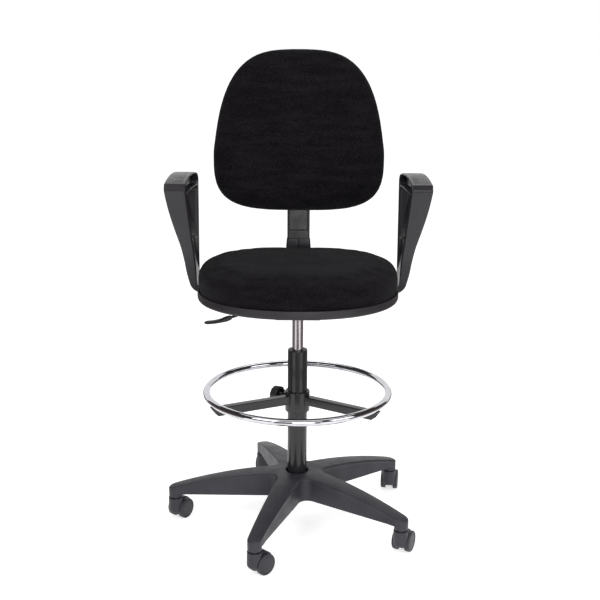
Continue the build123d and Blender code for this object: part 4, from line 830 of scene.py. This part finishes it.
bosses = [lathe(boss_line, (*polar(STEM_AT, angle), 0), UP, BOSS_STEPS) for angle in leg_angles]
ribs = [swung(rib(s), angle) for s in SINK_AT for angle in leg_angles]
piece("star_base", [np.concatenate([star, star[:, :1]], axis=1), well, *bosses, *ribs], "base_plastic", "base",
      "five_star_base")

# %% [markdown]
# The height lever
#
# A bent steel rod runs from the gas valve out under the seat's edge and ends in a flat plastic paddle. The rod is
# a circle carried along the bent line. The paddle is the same idea with a section that changes on the way: round
# where it grips the rod, wide and thin where the fingers are, and closed by a round end.

# %% Lever rod
LEVER_LINE = np.array([(0.008, 0, 0.597), (-0.062, 0, 0.597), (-0.160, 0, 0.552), (-0.236, 0, 0.536)])
LEVER_ROD, LEVER_BEND, ROD_IN_PADDLE = 0.0035, 0.012, 0.03
PIVOT_X = joints["gas_lever_lift"]["pos_m"][0]
PIVOT_SLEEVE, PIVOT_BORE, PIVOT_HALF = 0.006, 0.00305, 0.012
ROD_STEPS, BEND_STEPS, PIVOT_STEPS = 24, 12, 48
ACROSS = (0, 1, 0)

paddle_along = unit(LEVER_LINE[3] - LEVER_LINE[2])
rod_line = np.concatenate([LEVER_LINE[:3], [LEVER_LINE[2] + ROD_IN_PADDLE * paddle_along]])
rod_section = polar(LEVER_ROD, whole_turn(ROD_STEPS))
rod_sheet = capped(sweep(softened(rod_line, LEVER_BEND, BEND_STEPS), rod_section, ACROSS))
pivot_line = rounded(tube(-PIVOT_HALF, PIVOT_HALF, PIVOT_SLEEVE, PIVOT_BORE), RIM)
pivot = lathe(pivot_line, (PIVOT_X, 0, LEVER_LINE[0, 2]), ACROSS, PIVOT_STEPS)
piece("lever_bar", [rod_sheet, pivot], "black_steel", "gas_lever", "lever_rod")

# %% Lever paddle
PADDLE_START, PADDLE_END = 0.008, 0.16  # metres along the line, and the share of its length that the end rounds off
PADDLE_SAG = 0.0035  # how far the paddle's line hangs under the straight line, which flattens its outer end
PADDLE_AT = (0, 0.12, 0.4, 0.8, 1)
PADDLE_WIDE = (0.0055, 0.007, 0.012, 0.013, 0.013)
PADDLE_THICK = (0.0052, 0.0064, 0.0042, 0.003, 0.003)
PADDLE_ROWS, PADDLE_STEPS, SQUARE, FLAT = 60, 48, 0.6, 0.8  # grid, and powers that square the section off


def bulged(values, power):
    """Sines or cosines raised to a power with their sign kept, which squares a circle off."""
    return np.sign(values) * np.abs(values) ** power


t = np.linspace(0, 1, PADDLE_ROWS)
paddle_length = np.linalg.norm(LEVER_LINE[3] - LEVER_LINE[2])
paddle_line = LEVER_LINE[2] + np.outer(PADDLE_START + t * (paddle_length - PADDLE_START), paddle_along)
paddle_line[:, 2] -= PADDLE_SAG * np.sin(np.pi * t)
end_round = np.sqrt(1 - np.clip((t - 1 + PADDLE_END) / PADDLE_END, 0, 1) ** 2)
paddle_wide = smooth_through(t, PADDLE_AT, PADDLE_WIDE) * end_round
paddle_thick = smooth_through(t, PADDLE_AT, PADDLE_THICK) * (0.3 + 0.7 * end_round)
paddle_turn = whole_turn(PADDLE_STEPS)
paddle_section = np.stack([np.outer(paddle_thick, bulged(np.sin(paddle_turn), FLAT)),
                           np.outer(paddle_wide, bulged(np.cos(paddle_turn), SQUARE))], axis=-1)
piece("lever_grip", [capped(sweep(paddle_line, paddle_section, ACROSS))], "shell_plastic", "gas_lever",
      "lever_paddle")

# %% [markdown]
# The seat pan and the back shell
#
# Both are shallow plastic trays on a rounded outline that is neither an ellipse nor a box: |x/a|^n + |y/b|^n = 1,
# with its own reach and power to each side of the waist. A tray is that outline at many rows, each drawn in by
# an inset and set at a height, with the first and last rows shrunk to a point so that the tray closes.

# %% One outline for seat and back
OUTLINE_STEPS = 288
SEAT_HALF, SEAT_REAR, SEAT_FRONT, SEAT_POWERS = 0.250, 0.200, 0.236, (3.0, 2.2)
BACK_HALF, BACK_WAIST, BACK_RISE, BACK_DROP = 0.223, 0.231, 0.262, 0.152
BACK_POWERS, BACK_TAPER = (3.2, 3.6), 0.15
RECLINE = np.radians(5)
UPRIGHT_FOOT = np.array((0, 0.222, 0.710))
UPRIGHT_UP = np.array((0, np.sin(RECLINE), np.cos(RECLINE)))
UPRIGHT_OUT = np.array((0, -np.cos(RECLINE), np.sin(RECLINE)))


def egg(half_width, rise, drop, powers, taper=0.0):
    """Radius 1 / (|cos/a|^n + |sin/b|^n)^(1/n) at each turn; above the waist the width shrinks with height."""
    turn = whole_turn(OUTLINE_STEPS)
    across, along = np.cos(turn), np.sin(turn)
    power = np.where(along >= 0, *powers)
    tall = np.where(along >= 0, rise, drop)
    radius = ((np.abs(across) / half_width) ** power + (np.abs(along) / tall) ** power) ** (-1 / power)
    x, y = radius * across, radius * along
    return x * (1 - taper * np.clip(y / tall, 0, None)), y


def columns(*values):
    """Numbers and lists as columns of one length, with one row for each row of a grid."""
    return np.broadcast_arrays(*(np.atleast_1d(np.asarray(value, float))[:, None] for value in values))


def seat_rows(side, front, rear, height, share=1.0):
    """Seat outlines drawn in at the sides, front and rear, each at its height and shrunk to a share."""
    side, front, rear, height, share = columns(side, front, rear, height, share)
    x, y = egg(SEAT_HALF - side, SEAT_REAR - rear, SEAT_FRONT - front, SEAT_POWERS)
    return np.stack([x * share, y * share, np.broadcast_to(height, x.shape)], axis=-1)


def on_upright(x, v, behind):
    """Points so far across, up along the upright, and behind its front face."""
    return UPRIGHT_FOOT + x[..., None] * (1, 0, 0) + v[..., None] * UPRIGHT_UP - behind[..., None] * UPRIGHT_OUT


def back_rows(inset, depth, share=1.0):
    """Backrest outlines drawn in by an inset, each at a depth in front of the upright and shrunk to a share."""
    inset, depth, share = columns(inset, depth, share)
    x, v = egg(BACK_HALF - inset, BACK_RISE - inset, BACK_DROP - inset, BACK_POWERS, BACK_TAPER)
    return on_upright(x * share, BACK_WAIST + v * share, -depth)


print("outline in %d steps" % OUTLINE_STEPS)

# %% Seat pan
pan_low, pan_high = (corner.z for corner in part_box("seat_shell"))
PAN_FLOOR, PAN_MIDDLE, MIDDLE_ROWS = 0.0026, 0.03, 7


def framed(first, values, last):
    """Values with so many equal rows before and after them as a tray has in its middle."""
    return np.concatenate([np.full(MIDDLE_ROWS, first), values, np.full(MIDDLE_ROWS, last)])


def tray_share(count):
    """Shares for a tray of so many full rows: from a point at its middle out to 1, and back."""
    inner = np.linspace(0, 1, MIDDLE_ROWS + 1)[:-1]
    return np.concatenate([inner, np.ones(count), inner[::-1]])


pan_line = softened([(PAN_MIDDLE, pan_low), (0.0, pan_low), (0.0, pan_high), (0.0035, pan_high),
                     (0.0085, pan_low + 0.006), (PAN_MIDDLE, pan_low + PAN_FLOOR)], (0.009, 0.0011, 0.0011, 0.003), 9)
pan_inset = framed(PAN_MIDDLE, pan_line[:, 0], PAN_MIDDLE)
pan_height = framed(pan_low, pan_line[:, 1], pan_low + PAN_FLOOR)
piece("seat_pan", [seat_rows(pan_inset, pan_inset, pan_inset, pan_height, tray_share(len(pan_line)))],
      "shell_plastic", "seat", "seat_shell")

# %% Back shell
SHELL_DEPTH, SHELL_RIM, SHELL_ROLL, SHELL_POWER = 0.026, 0.007, 0.055, 1.82
SHELL_WALL, SHELL_FLOOR, SHELL_SHALLOW = 0.003, 0.0027, 0.88
LIP_INSET, LIP_DEPTH = (0.0004, 0.0014, 0.0026, 0.003), (0.0, 0.0, 0.0, -0.0006)

roll = np.linspace(0, 1, 26)
rear_depth = SHELL_DEPTH * (1 - (1 - roll ** SHELL_POWER) ** (1 / SHELL_POWER))
rear_inset = SHELL_RIM + SHELL_ROLL * (1 - roll)
shell_inset = np.concatenate([rear_inset, SHELL_RIM + np.array(LIP_INSET), rear_inset[::-1] + SHELL_WALL])
shell_depth = np.concatenate([rear_depth, SHELL_DEPTH + np.array(LIP_DEPTH),
                              rear_depth[::-1] * SHELL_SHALLOW + SHELL_FLOOR])
shell_sheet = back_rows(framed(shell_inset[0], shell_inset, shell_inset[-1]), framed(0.0, shell_depth, SHELL_FLOOR),
                        tray_share(len(shell_inset)))
piece("back_pan", [shell_sheet], "shell_plastic", "backrest", "back_shell")

# %% [markdown]
# The arms
#
# Each arm is one moulding: a pad on top, a front strap and a rear strap that meet in a V, and a foot that bends
# in under the seat. Modelled as a flat plate it is simple: an outer outline and a loop, with a thickness that
# depends on height. The plate is then bent. The grid runs round the loop one way and round the plate's section the
# other way, so the whole arm is one closed surface. The side that faces the seat is hollowed out between two
# lips, and fine ridges run along the pad.

# %% The plate's outlines
ARM_BEND_Z, ARM_BEND_RADIUS, ARM_PLATE_LOW = 0.6217, 0.016, 0.5085
PAD_AT, PAD_HIGH, PAD_POINTS = (-0.1065, 0.010, 0.136), (0.902, 0.911, 0.897), 13
LOOP_CORNERS, LOOP_ROUNDING = ((-0.070, 0.876), (0.126, 0.868), (0.100, 0.735)), (0.014, 0.016, 0.012)
# Points that belong together on the outer outline and on the loop, and the steps from each to the next
OUTER_MARKS = ((-0.112, 0.880), (-0.100, 0.9032), (0.147, 0.889), (0.146, 0.715), (0.144, 0.5085), (0.080, 0.5085),
               (0.074, 0.664))
LOOP_MARKS = ((-0.0635, 0.8715), (-0.060, 0.8745), (0.1215, 0.8645), (0.103, 0.750), (0.1005, 0.7415),
              (0.0975, 0.7405), (0.0935, 0.7425))
MARK_STEPS = (24, 84, 40, 44, 16, 44, 66)


def walked(line, marks, steps):
    """Points of a closed line from mark to mark, so many steps apart, evenly spaced by length in between."""
    start = np.argmin(np.linalg.norm(line - marks[0], axis=1))
    line = np.concatenate([line[start:-1], line[:start + 1]])
    length = np.concatenate([[0], np.cumsum(np.linalg.norm(np.diff(line, axis=0), axis=1))])
    nearest = np.linalg.norm(line[None, :-1] - np.asarray(marks)[:, None], axis=2).argmin(axis=1)
    stations = np.concatenate([length[nearest], length[-1:]])
    at = np.interp(np.arange(sum(steps) + 1), np.concatenate([[0], np.cumsum(steps)]), stations)
    return np.stack([np.interp(at, length, line[:, axis]) for axis in (0, 1)], axis=1)


pad_w = np.linspace(PAD_AT[0], PAD_AT[-1], PAD_POINTS)
pad_line = np.stack([pad_w, np.polyval(np.polyfit(PAD_AT, PAD_HIGH, 2), pad_w)], axis=1)
outer_corners = np.concatenate([[(-0.1125, 0.8875)], pad_line,
                                [(0.152, 0.884), (0.144, 0.660), (0.144, ARM_PLATE_LOW), (0.080, ARM_PLATE_LOW),
                                 (0.080, 0.652)]])
outer_rounding = np.concatenate([[0.0055, 0.0016], np.full(PAD_POINTS - 1, 0.008),
                                 [0.009, 0.03, 0.004, 0.004, 0.06]])
outer_ring = walked(rounded(outer_corners, outer_rounding, 9), OUTER_MARKS, MARK_STEPS)
loop_ring = walked(rounded(LOOP_CORNERS, LOOP_ROUNDING, 15), LOOP_MARKS, MARK_STEPS)
print("arm plate: %d lines between loop and outline" % len(outer_ring))

# %% The plate's section
ARM_EDGE = 0.0042
TOP_POINTS, FACE_POINTS, HOLE_POINTS, CORNER_POINTS = 65, 64, 12, 6


def run(count):
    """Shares from 0 to 1 along a face, and the length that keeps its ends one edge radius off the corners."""
    share = np.linspace(0, 1, count)
    return share, ARM_EDGE * (1 - 2 * share)


quarter = quarter_turn(CORNER_POINTS + 1)[1:-1]
bulge, tuck = ARM_EDGE * (1 - np.sin(quarter)), ARM_EDGE * (1 - np.cos(quarter))
one, none = np.ones(CORNER_POINTS), np.zeros(CORNER_POINTS)
top, top_off = run(TOP_POINTS)
face, face_off = run(FACE_POINTS)
hole, hole_off = run(HOLE_POINTS)
# For each point of the section: share and offset from loop to outline, then share and offset from inside to outside
out_share = np.concatenate([np.ones(TOP_POINTS), one, face[::-1], none, 0 * hole, none, face, one, [1]])
out_off = np.concatenate([0 * top, -tuck, face_off[::-1], bulge, 0 * hole, tuck, face_off, -bulge, [0]])
side_share = np.concatenate([top, one, np.ones(FACE_POINTS), one, hole[::-1], none, 0 * face, none, [0]])
side_off = np.concatenate([top_off, -bulge, 0 * face, -tuck, hole_off[::-1], bulge, 0 * face, tuck, [top_off[0]]])
print("arm section: %d points" % len(out_share))

# %% The plate with its ridges and its hollow
THICK_AT = (0.5085, 0.590, 0.605, 0.6217, 0.650, 0.680, 0.727, 0.775, 0.826, 0.884, 0.911)
THICKNESS = (0.0117, 0.0117, 0.0140, 0.0195, 0.0255, 0.0285, 0.0330, 0.0410, 0.0480, 0.0515, 0.0515)
HOLLOW_AT = (0.640, 0.690, 0.850, 0.872, 0.911)
HOLLOW_DEPTH = (0.0, 0.0090, 0.0115, 0.0165, 0.0190)
LIP, LIP_SLOPE = 0.0036, 0.002
RIDGES, RIDGE_DEPTH = 9, 0.0013
RIDGE_START, RIDGE_END, RIDGE_SIDES = (0.03, 0.05), (0.93, 0.98), (0.06, 0.1)  # shares of the pad's length and width

across = outer_ring - loop_ring
wide = np.linalg.norm(across, axis=1)[:, None]
flat = loop_ring[:, None] + out_share[:, None] * across[:, None] + out_off[:, None] * unit(across)[:, None]
pad_share = (np.arange(len(outer_ring)) - MARK_STEPS[0]) / MARK_STEPS[1]
on_pad = (ramp(pad_share, *RIDGE_START) - ramp(pad_share, *RIDGE_END))[:, None]
on_top = ((out_share == 1) & (out_off == 0)) * ramp(np.minimum(side_share, 1 - side_share), *RIDGE_SIDES)
flat[..., 1] -= RIDGE_DEPTH * on_pad * on_top * (0.5 - 0.5 * np.cos(2 * np.pi * RIDGES * side_share)) ** 2
w, drop = flat[..., 0], flat[..., 1]
from_edge = np.minimum(out_share * wide + out_off, (1 - out_share) * wide - out_off)
on_inside = (side_share == 0) & (side_off == 0)
hollow = on_inside * smooth_through(drop, HOLLOW_AT, HOLLOW_DEPTH) * ramp(from_edge, LIP, LIP + LIP_SLOPE)
thick = side_share * smooth_through(drop, THICK_AT, THICKNESS) + side_off + hollow
print("plate: up to %.0f mm thick" % (1000 * thick.max()))

# %% The arms, bent and mirrored
ARM_X, ARM_TOE = 0.262, np.radians(1.5)
bend = np.clip((ARM_BEND_Z - drop) / ARM_BEND_RADIUS, 0, np.pi / 2)
past = np.clip(ARM_BEND_Z - drop - ARM_BEND_RADIUS * np.pi / 2, 0, None)
u = (ARM_BEND_RADIUS + thick) * np.cos(bend) - ARM_BEND_RADIUS - past
z = np.maximum(drop, ARM_BEND_Z) - (ARM_BEND_RADIUS + thick) * np.sin(bend)
arm = swung(np.stack([u, w, z], axis=-1), ARM_TOE) + (ARM_X, 0, 0)
HANDS = (("right", 1), ("left", -1))
for hand, side in HANDS:
    piece(f"arm_{hand}", [arm * (side, 1, 1)], "arm_plastic", "seat", f"{hand}_arm")

# %% [markdown]
# The covers of the upright
#
# The bar that carries the back hides in a plastic sleeve of two parts. The upper one slides with the back and has a
# shallow sunk panel in front. It is a rounded rectangle carried up the upright, whose front face is pushed back
# where the panel is. The lower one is two half shells that meet in a seam. Each is an open line with a wall's
# thickness; its seam edges and its rims are rounded, so the seam shows as a fine groove.

# %% Upper cover
COVER_HALF, COVER_DEEP, COVER_ROUND = 0.030, 0.032, 0.004
COVER_LOW, COVER_TOP, COVER_STEPS = -0.085, 0.292, (150, 60)
PANEL_HALF, PANEL_LOW, PANEL_HIGH, PANEL_DEPTH = 0.0245, 0.0225, 0.085, 0.0012
PANEL_SLOPE, LEDGE_SLOPE = 0.0018, 0.0045  # width of the step at the panel's sides, and at its ends


def within(value, low, high, slope):
    """1 between low and high, 0 outside, with a smooth step so wide at both ends."""
    return ramp(value, low - slope / 2, low + slope / 2) * (1 - ramp(value, high - slope / 2, high + slope / 2))


cover_corners = [(-COVER_HALF, 0), (COVER_HALF, 0), (COVER_HALF, COVER_DEEP), (-COVER_HALF, COVER_DEEP)]
cover_marks = ((-COVER_HALF, COVER_DEEP / 2), (COVER_HALF, COVER_DEEP / 2))
cover_line = walked(rounded(cover_corners, COVER_ROUND), cover_marks, COVER_STEPS)
straight_v = np.concatenate([np.linspace(COVER_LOW, 0.016, 12), np.linspace(0.018, 0.090, 80),
                             np.linspace(0.095, COVER_TOP - COVER_ROUND, 24)])
top_round = quarter_turn(6)[1:]
cover_v = np.concatenate([straight_v, COVER_TOP - COVER_ROUND * (1 - np.sin(top_round))])[:, None]
draw_in = np.concatenate([0 * straight_v, COVER_ROUND * (1 - np.cos(top_round))])[:, None]
x = cover_line[:, 0] * (1 - draw_in / COVER_HALF)
behind = COVER_DEEP / 2 + (cover_line[:, 1] - COVER_DEEP / 2) * (1 - 2 * draw_in / COVER_DEEP)
panel = within(x, -PANEL_HALF, PANEL_HALF, PANEL_SLOPE) * within(cover_v, PANEL_LOW, PANEL_HIGH, LEDGE_SLOPE)
behind = behind + PANEL_DEPTH * panel * (behind < COVER_ROUND)
cover_sheet = on_upright(x, np.broadcast_to(cover_v, x.shape), behind)
piece("back_cover", [capped(cover_sheet)], "arm_plastic", "backrest", "upper_cover")

# %% Lower cover
SLEEVE_HALF, SLEEVE_WALL, SLEEVE_PLAY = 0.033, 0.0026, 0.0004
SEAM, SEAM_ROUND, SLEEVE_RIM, SLEEVE_ROWS = 0.0001, 0.0011, 0.0012, 20
SLEEVE_BOTTOM, SLEEVE_FLARE, FLARE_LOW = -0.158, 0.0015, -0.022


def half_line(half, play, corner):
    """Open line round one half of the sleeve at a play off the upper cover, from mid-wall at one seam to the other."""
    middle = SLEEVE_PLAY + SLEEVE_WALL / 2
    line = [(SEAM, -middle), (SEAM, -play), (half, -play), (half, COVER_DEEP + play), (SEAM, COVER_DEEP + play),
            (SEAM, COVER_DEEP + middle)]
    return softened(line, (SEAM_ROUND, corner, corner, SEAM_ROUND), 8)


outside = half_line(SLEEVE_HALF, SLEEVE_PLAY + SLEEVE_WALL, COVER_ROUND)
inside = half_line(SLEEVE_HALF - SLEEVE_WALL, SLEEVE_PLAY, COVER_ROUND / 2)
wall_middle = (outside + inside) / 2
both = np.concatenate([outside, inside[-2::-1]])
middle = np.concatenate([wall_middle, wall_middle[-2::-1]])
rim_round = quarter_turn(5)
rim_drop = SLEEVE_RIM * (1 - np.cos(rim_round))
full = np.concatenate([np.sin(rim_round), np.ones(SLEEVE_ROWS), np.sin(rim_round[::-1])])[:, None, None]
sleeve_v = np.concatenate([SLEEVE_BOTTOM + rim_drop, np.linspace(SLEEVE_BOTTOM + 0.004, -0.004, SLEEVE_ROWS),
                           -rim_drop[::-1]])[:, None]
section = middle + full * (both - middle)
flare = 1 - SLEEVE_FLARE / SLEEVE_HALF * ramp(sleeve_v, FLARE_LOW, 0)
for hand, side in HANDS:
    x = side * section[..., 0] * flare
    sheet = on_upright(x, np.broadcast_to(sleeve_v, x.shape), section[..., 1])
    piece(f"sleeve_{hand}", [sheet], "arm_plastic", "back_bar", f"lower_cover_{hand}")

# %% [markdown]
# The cushions
#
# Foam under velour is a full, soft form, pulled in where the cover is stapled round the rim. It could be drawn as
# a smooth surface, but then it looks like soap. So the drawn form is made a little too small, covered with an even
# mesh, and inflated as cloth for twenty frames with its rim held. Only the outward swelling is used, because the
# cloth also draws its sides in and hangs in folds. It is capped, so the cushion keeps to its space, and evened over
# the neighbours of each point. Small puckers follow round the rim, where the staples gather the cover.

# %% An even mesh, and values on its points
VOXEL = 0.005


def remeshed(mesh):
    """An even mesh of small quads over the same closed form."""
    form = bpy.data.objects.new("form", mesh)
    bpy.context.scene.collection.objects.link(form)
    voxels = form.modifiers.new("even", "REMESH")
    voxels.mode = "VOXEL"
    voxels.voxel_size = VOXEL
    even = bpy.data.meshes.new_from_object(form.evaluated_get(bpy.context.evaluated_depsgraph_get()))
    bpy.data.objects.remove(form)
    return even


def read(mesh, what):
    """The places ("co") or outward directions ("normal") of the mesh's points as one array."""
    flat = np.empty(3 * len(mesh.vertices), np.float32)
    mesh.vertices.foreach_get(what, flat)
    return flat.reshape(-1, 3).astype(float)


def moved_to(mesh, points):
    """Give the mesh's points new places."""
    mesh.vertices.foreach_set("co", points.astype(np.float32).ravel())


def evened(mesh, values, rounds):
    """Values at the points, each moved halfway to the mean of its neighbours, so many times over."""
    ends = np.empty(2 * len(mesh.edges), np.int32)
    mesh.edges.foreach_get("vertices", ends)
    ends = np.concatenate([ends.reshape(-1, 2), ends.reshape(-1, 2)[:, ::-1]])
    count = np.bincount(ends[:, 0], minlength=len(values))
    for _ in range(rounds):
        near = [np.bincount(ends[:, 0], column[ends[:, 1]], len(values)) / count for column in values.T]
        values = (values + np.stack(near, axis=1)) / 2
    return values


print("cushions: %.0f mm mesh" % (1000 * VOXEL))

# %% How a cushion is inflated and gathered
PRESSURE, STIFFNESS, LAST_FRAME = 4.0, 8.0, 20  # the stiffness, against bending, keeps wrinkles broad
PUCKERS, PUCKER_DEPTH, PUCKER_HIGH = 74, 0.0008, 0.013


def inflated(mesh, held):
    """Where the points go when the form is cloth under pressure and the held points stay."""
    pad = bpy.data.objects.new("pad", mesh)
    bpy.context.scene.collection.objects.link(pad)
    pad.vertex_groups.new(name="held").add(np.flatnonzero(held).tolist(), 1.0, "REPLACE")
    cloth = pad.modifiers.new("cloth", "CLOTH")
    cloth.settings.use_pressure = True
    cloth.settings.uniform_pressure_force = PRESSURE
    cloth.settings.bending_stiffness = STIFFNESS
    cloth.settings.vertex_group_mass = "held"
    cloth.settings.effector_weights.gravity = 0
    for number in range(1, LAST_FRAME + 1):
        bpy.context.scene.frame_set(number)
    moved = read(pad.evaluated_get(bpy.context.evaluated_depsgraph_get()).to_mesh(), "co")
    bpy.context.scene.frame_set(1)
    bpy.data.objects.remove(pad)
    return moved


def gathered(points, middle, along, out, rim):
    """Points drawn in towards the cushion's middle by uneven puckers, which fade out from the rim upwards."""
    depth = (points - middle) @ out
    flat = points - middle - depth[:, None] * out
    turn = np.arctan2(flat @ along, flat[:, 0])
    fine = np.sin(PUCKERS * turn + 1.7 * np.sin(5 * turn))
    broad = np.sin(0.53 * PUCKERS * turn + 2 * np.sin(3 * turn))
    low = 1 - ramp(depth, rim, rim + PUCKER_HIGH)
    pull = PUCKER_DEPTH * low * (0.5 + 0.3 * (fine + 0.6 * broad))
    return points - pull[:, None] * unit(flat)


print("inflated for %d frames" % LAST_FRAME)

# %% From a drawn form to a cushion
HELD_HIGH, SWELL_CAP = 0.003, 0.006
FORM_ROUNDS, SWELL_ROUNDS = 4, 6


def cushion(name, sheet, middle, along, out, rim, body, node):
    """Remesh a drawn form, swell it by no more than the cap, gather its rim and put it in its node's place.

    The cushion lies in the plane through middle, with along up in it and out square to it; rim is a height over it.
    """
    mesh = remeshed(joined(name, [sheet]))
    moved_to(mesh, evened(mesh, read(mesh, "co"), FORM_ROUNDS))
    points = start = read(mesh, "co")
    outward = read(mesh, "normal")
    held = (start - middle) @ out < rim + HELD_HIGH
    swell = np.sum((inflated(mesh.copy(), held) - start) * outward, axis=1, keepdims=True)
    points = start + evened(mesh, np.clip(swell, 0, SWELL_CAP), SWELL_ROUNDS) * outward
    moved_to(mesh, gathered(points, middle, along, out, rim))
    made = place(name, mesh, "seat_fabric", body, (node,), 180)
    finer = made.modifiers.new("finer", "SUBSURF")
    finer.levels = finer.render_levels = 1
    return made


CROWN_POWER, CROWN_ROWS = 3.2, 15
DOME_ROWS, DOME_HIGH = 8, 0.003
SHRINK = 0.004  # how far the drawn top stays under the finished one, to leave room for the swelling
t = quarter_turn(CROWN_ROWS - 1)
crown_roll, crown_lift = 1 - np.cos(t) ** (2 / CROWN_POWER), np.sin(t) ** (2 / CROWN_POWER)
dome = np.linspace(1, 0, DOME_ROWS + 1)[1:]


def pad_rows(skirt_in, skirt_high, crest, top):
    """Tuck, roll, height and share of a cushion's rows: its skirt, the crown from crest to top, and a low dome."""
    skirt = len(skirt_in)
    tuck = np.concatenate([skirt_in, np.zeros(CROWN_ROWS + DOME_ROWS)])
    roll = np.concatenate([np.zeros(skirt), crown_roll, np.ones(DOME_ROWS)])
    crown = crest + (top - SHRINK - crest) * crown_lift
    height = np.concatenate([skirt_high, crown, top - SHRINK + DOME_HIGH * (1 - dome ** 2)])
    return tuck, roll, height, np.concatenate([np.ones(skirt + CROWN_ROWS), dome])


print("cushion rows: %d over the crown" % CROWN_ROWS)

# %% Seat cushion
_, pad_high = (corner.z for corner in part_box("seat_cushion"))
SEAT_RIM, SEAT_CREST = pan_high + 0.0003, pan_high + 0.026
SKIRT_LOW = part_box("seat_board")[1].z - 0.003  # the cover is drawn down over the board's edge
SEAT_SKIRT = (0.0120, 0.0050, 0.0022, 0.0012)
SEAT_ROLLS, SEAT_SLIM = (0.115, 0.150, 0.086), 0.0024  # how far sides, front and rear roll in, and all are slimmer

tuck, roll, height, share = pad_rows(SEAT_SKIRT, (SKIRT_LOW, SKIRT_LOW, SEAT_RIM, SEAT_RIM + 0.006), SEAT_CREST,
                                     pad_high)
sides = [SEAT_SLIM + tuck + roll * amount for amount in SEAT_ROLLS]
cushion("seat_pad", capped(seat_rows(*sides, height, share)), np.array(FOOT), np.array(ACROSS), np.array(UP), SEAT_RIM,
        "seat", "seat_cushion")

# %% Back cushion
BACK_RIM, BACK_CREST, BACK_TOP = SHELL_DEPTH + 0.0003, SHELL_DEPTH + 0.0203, SHELL_DEPTH + 0.058
BACK_SKIRT, BACK_ROLL, BACK_SLIM = (0.020, 0.0125, 0.0045, 0.0030), 0.100, 0.0004
BACK_MIDDLE = UPRIGHT_FOOT + (BACK_WAIST + 0.05) * UPRIGHT_UP

skirt_depth = BACK_RIM + np.array((-0.001, 0, 0.0008, 0.006))
tuck, roll, depth, share = pad_rows(BACK_SKIRT, skirt_depth, BACK_CREST, BACK_TOP)
cushion("back_pad", capped(back_rows(BACK_SLIM + tuck + BACK_ROLL * roll, depth, share)), BACK_MIDDLE, UPRIGHT_UP,
        UPRIGHT_OUT, BACK_RIM, "backrest", "back_cushion")

# %% Finish
print("scene built")
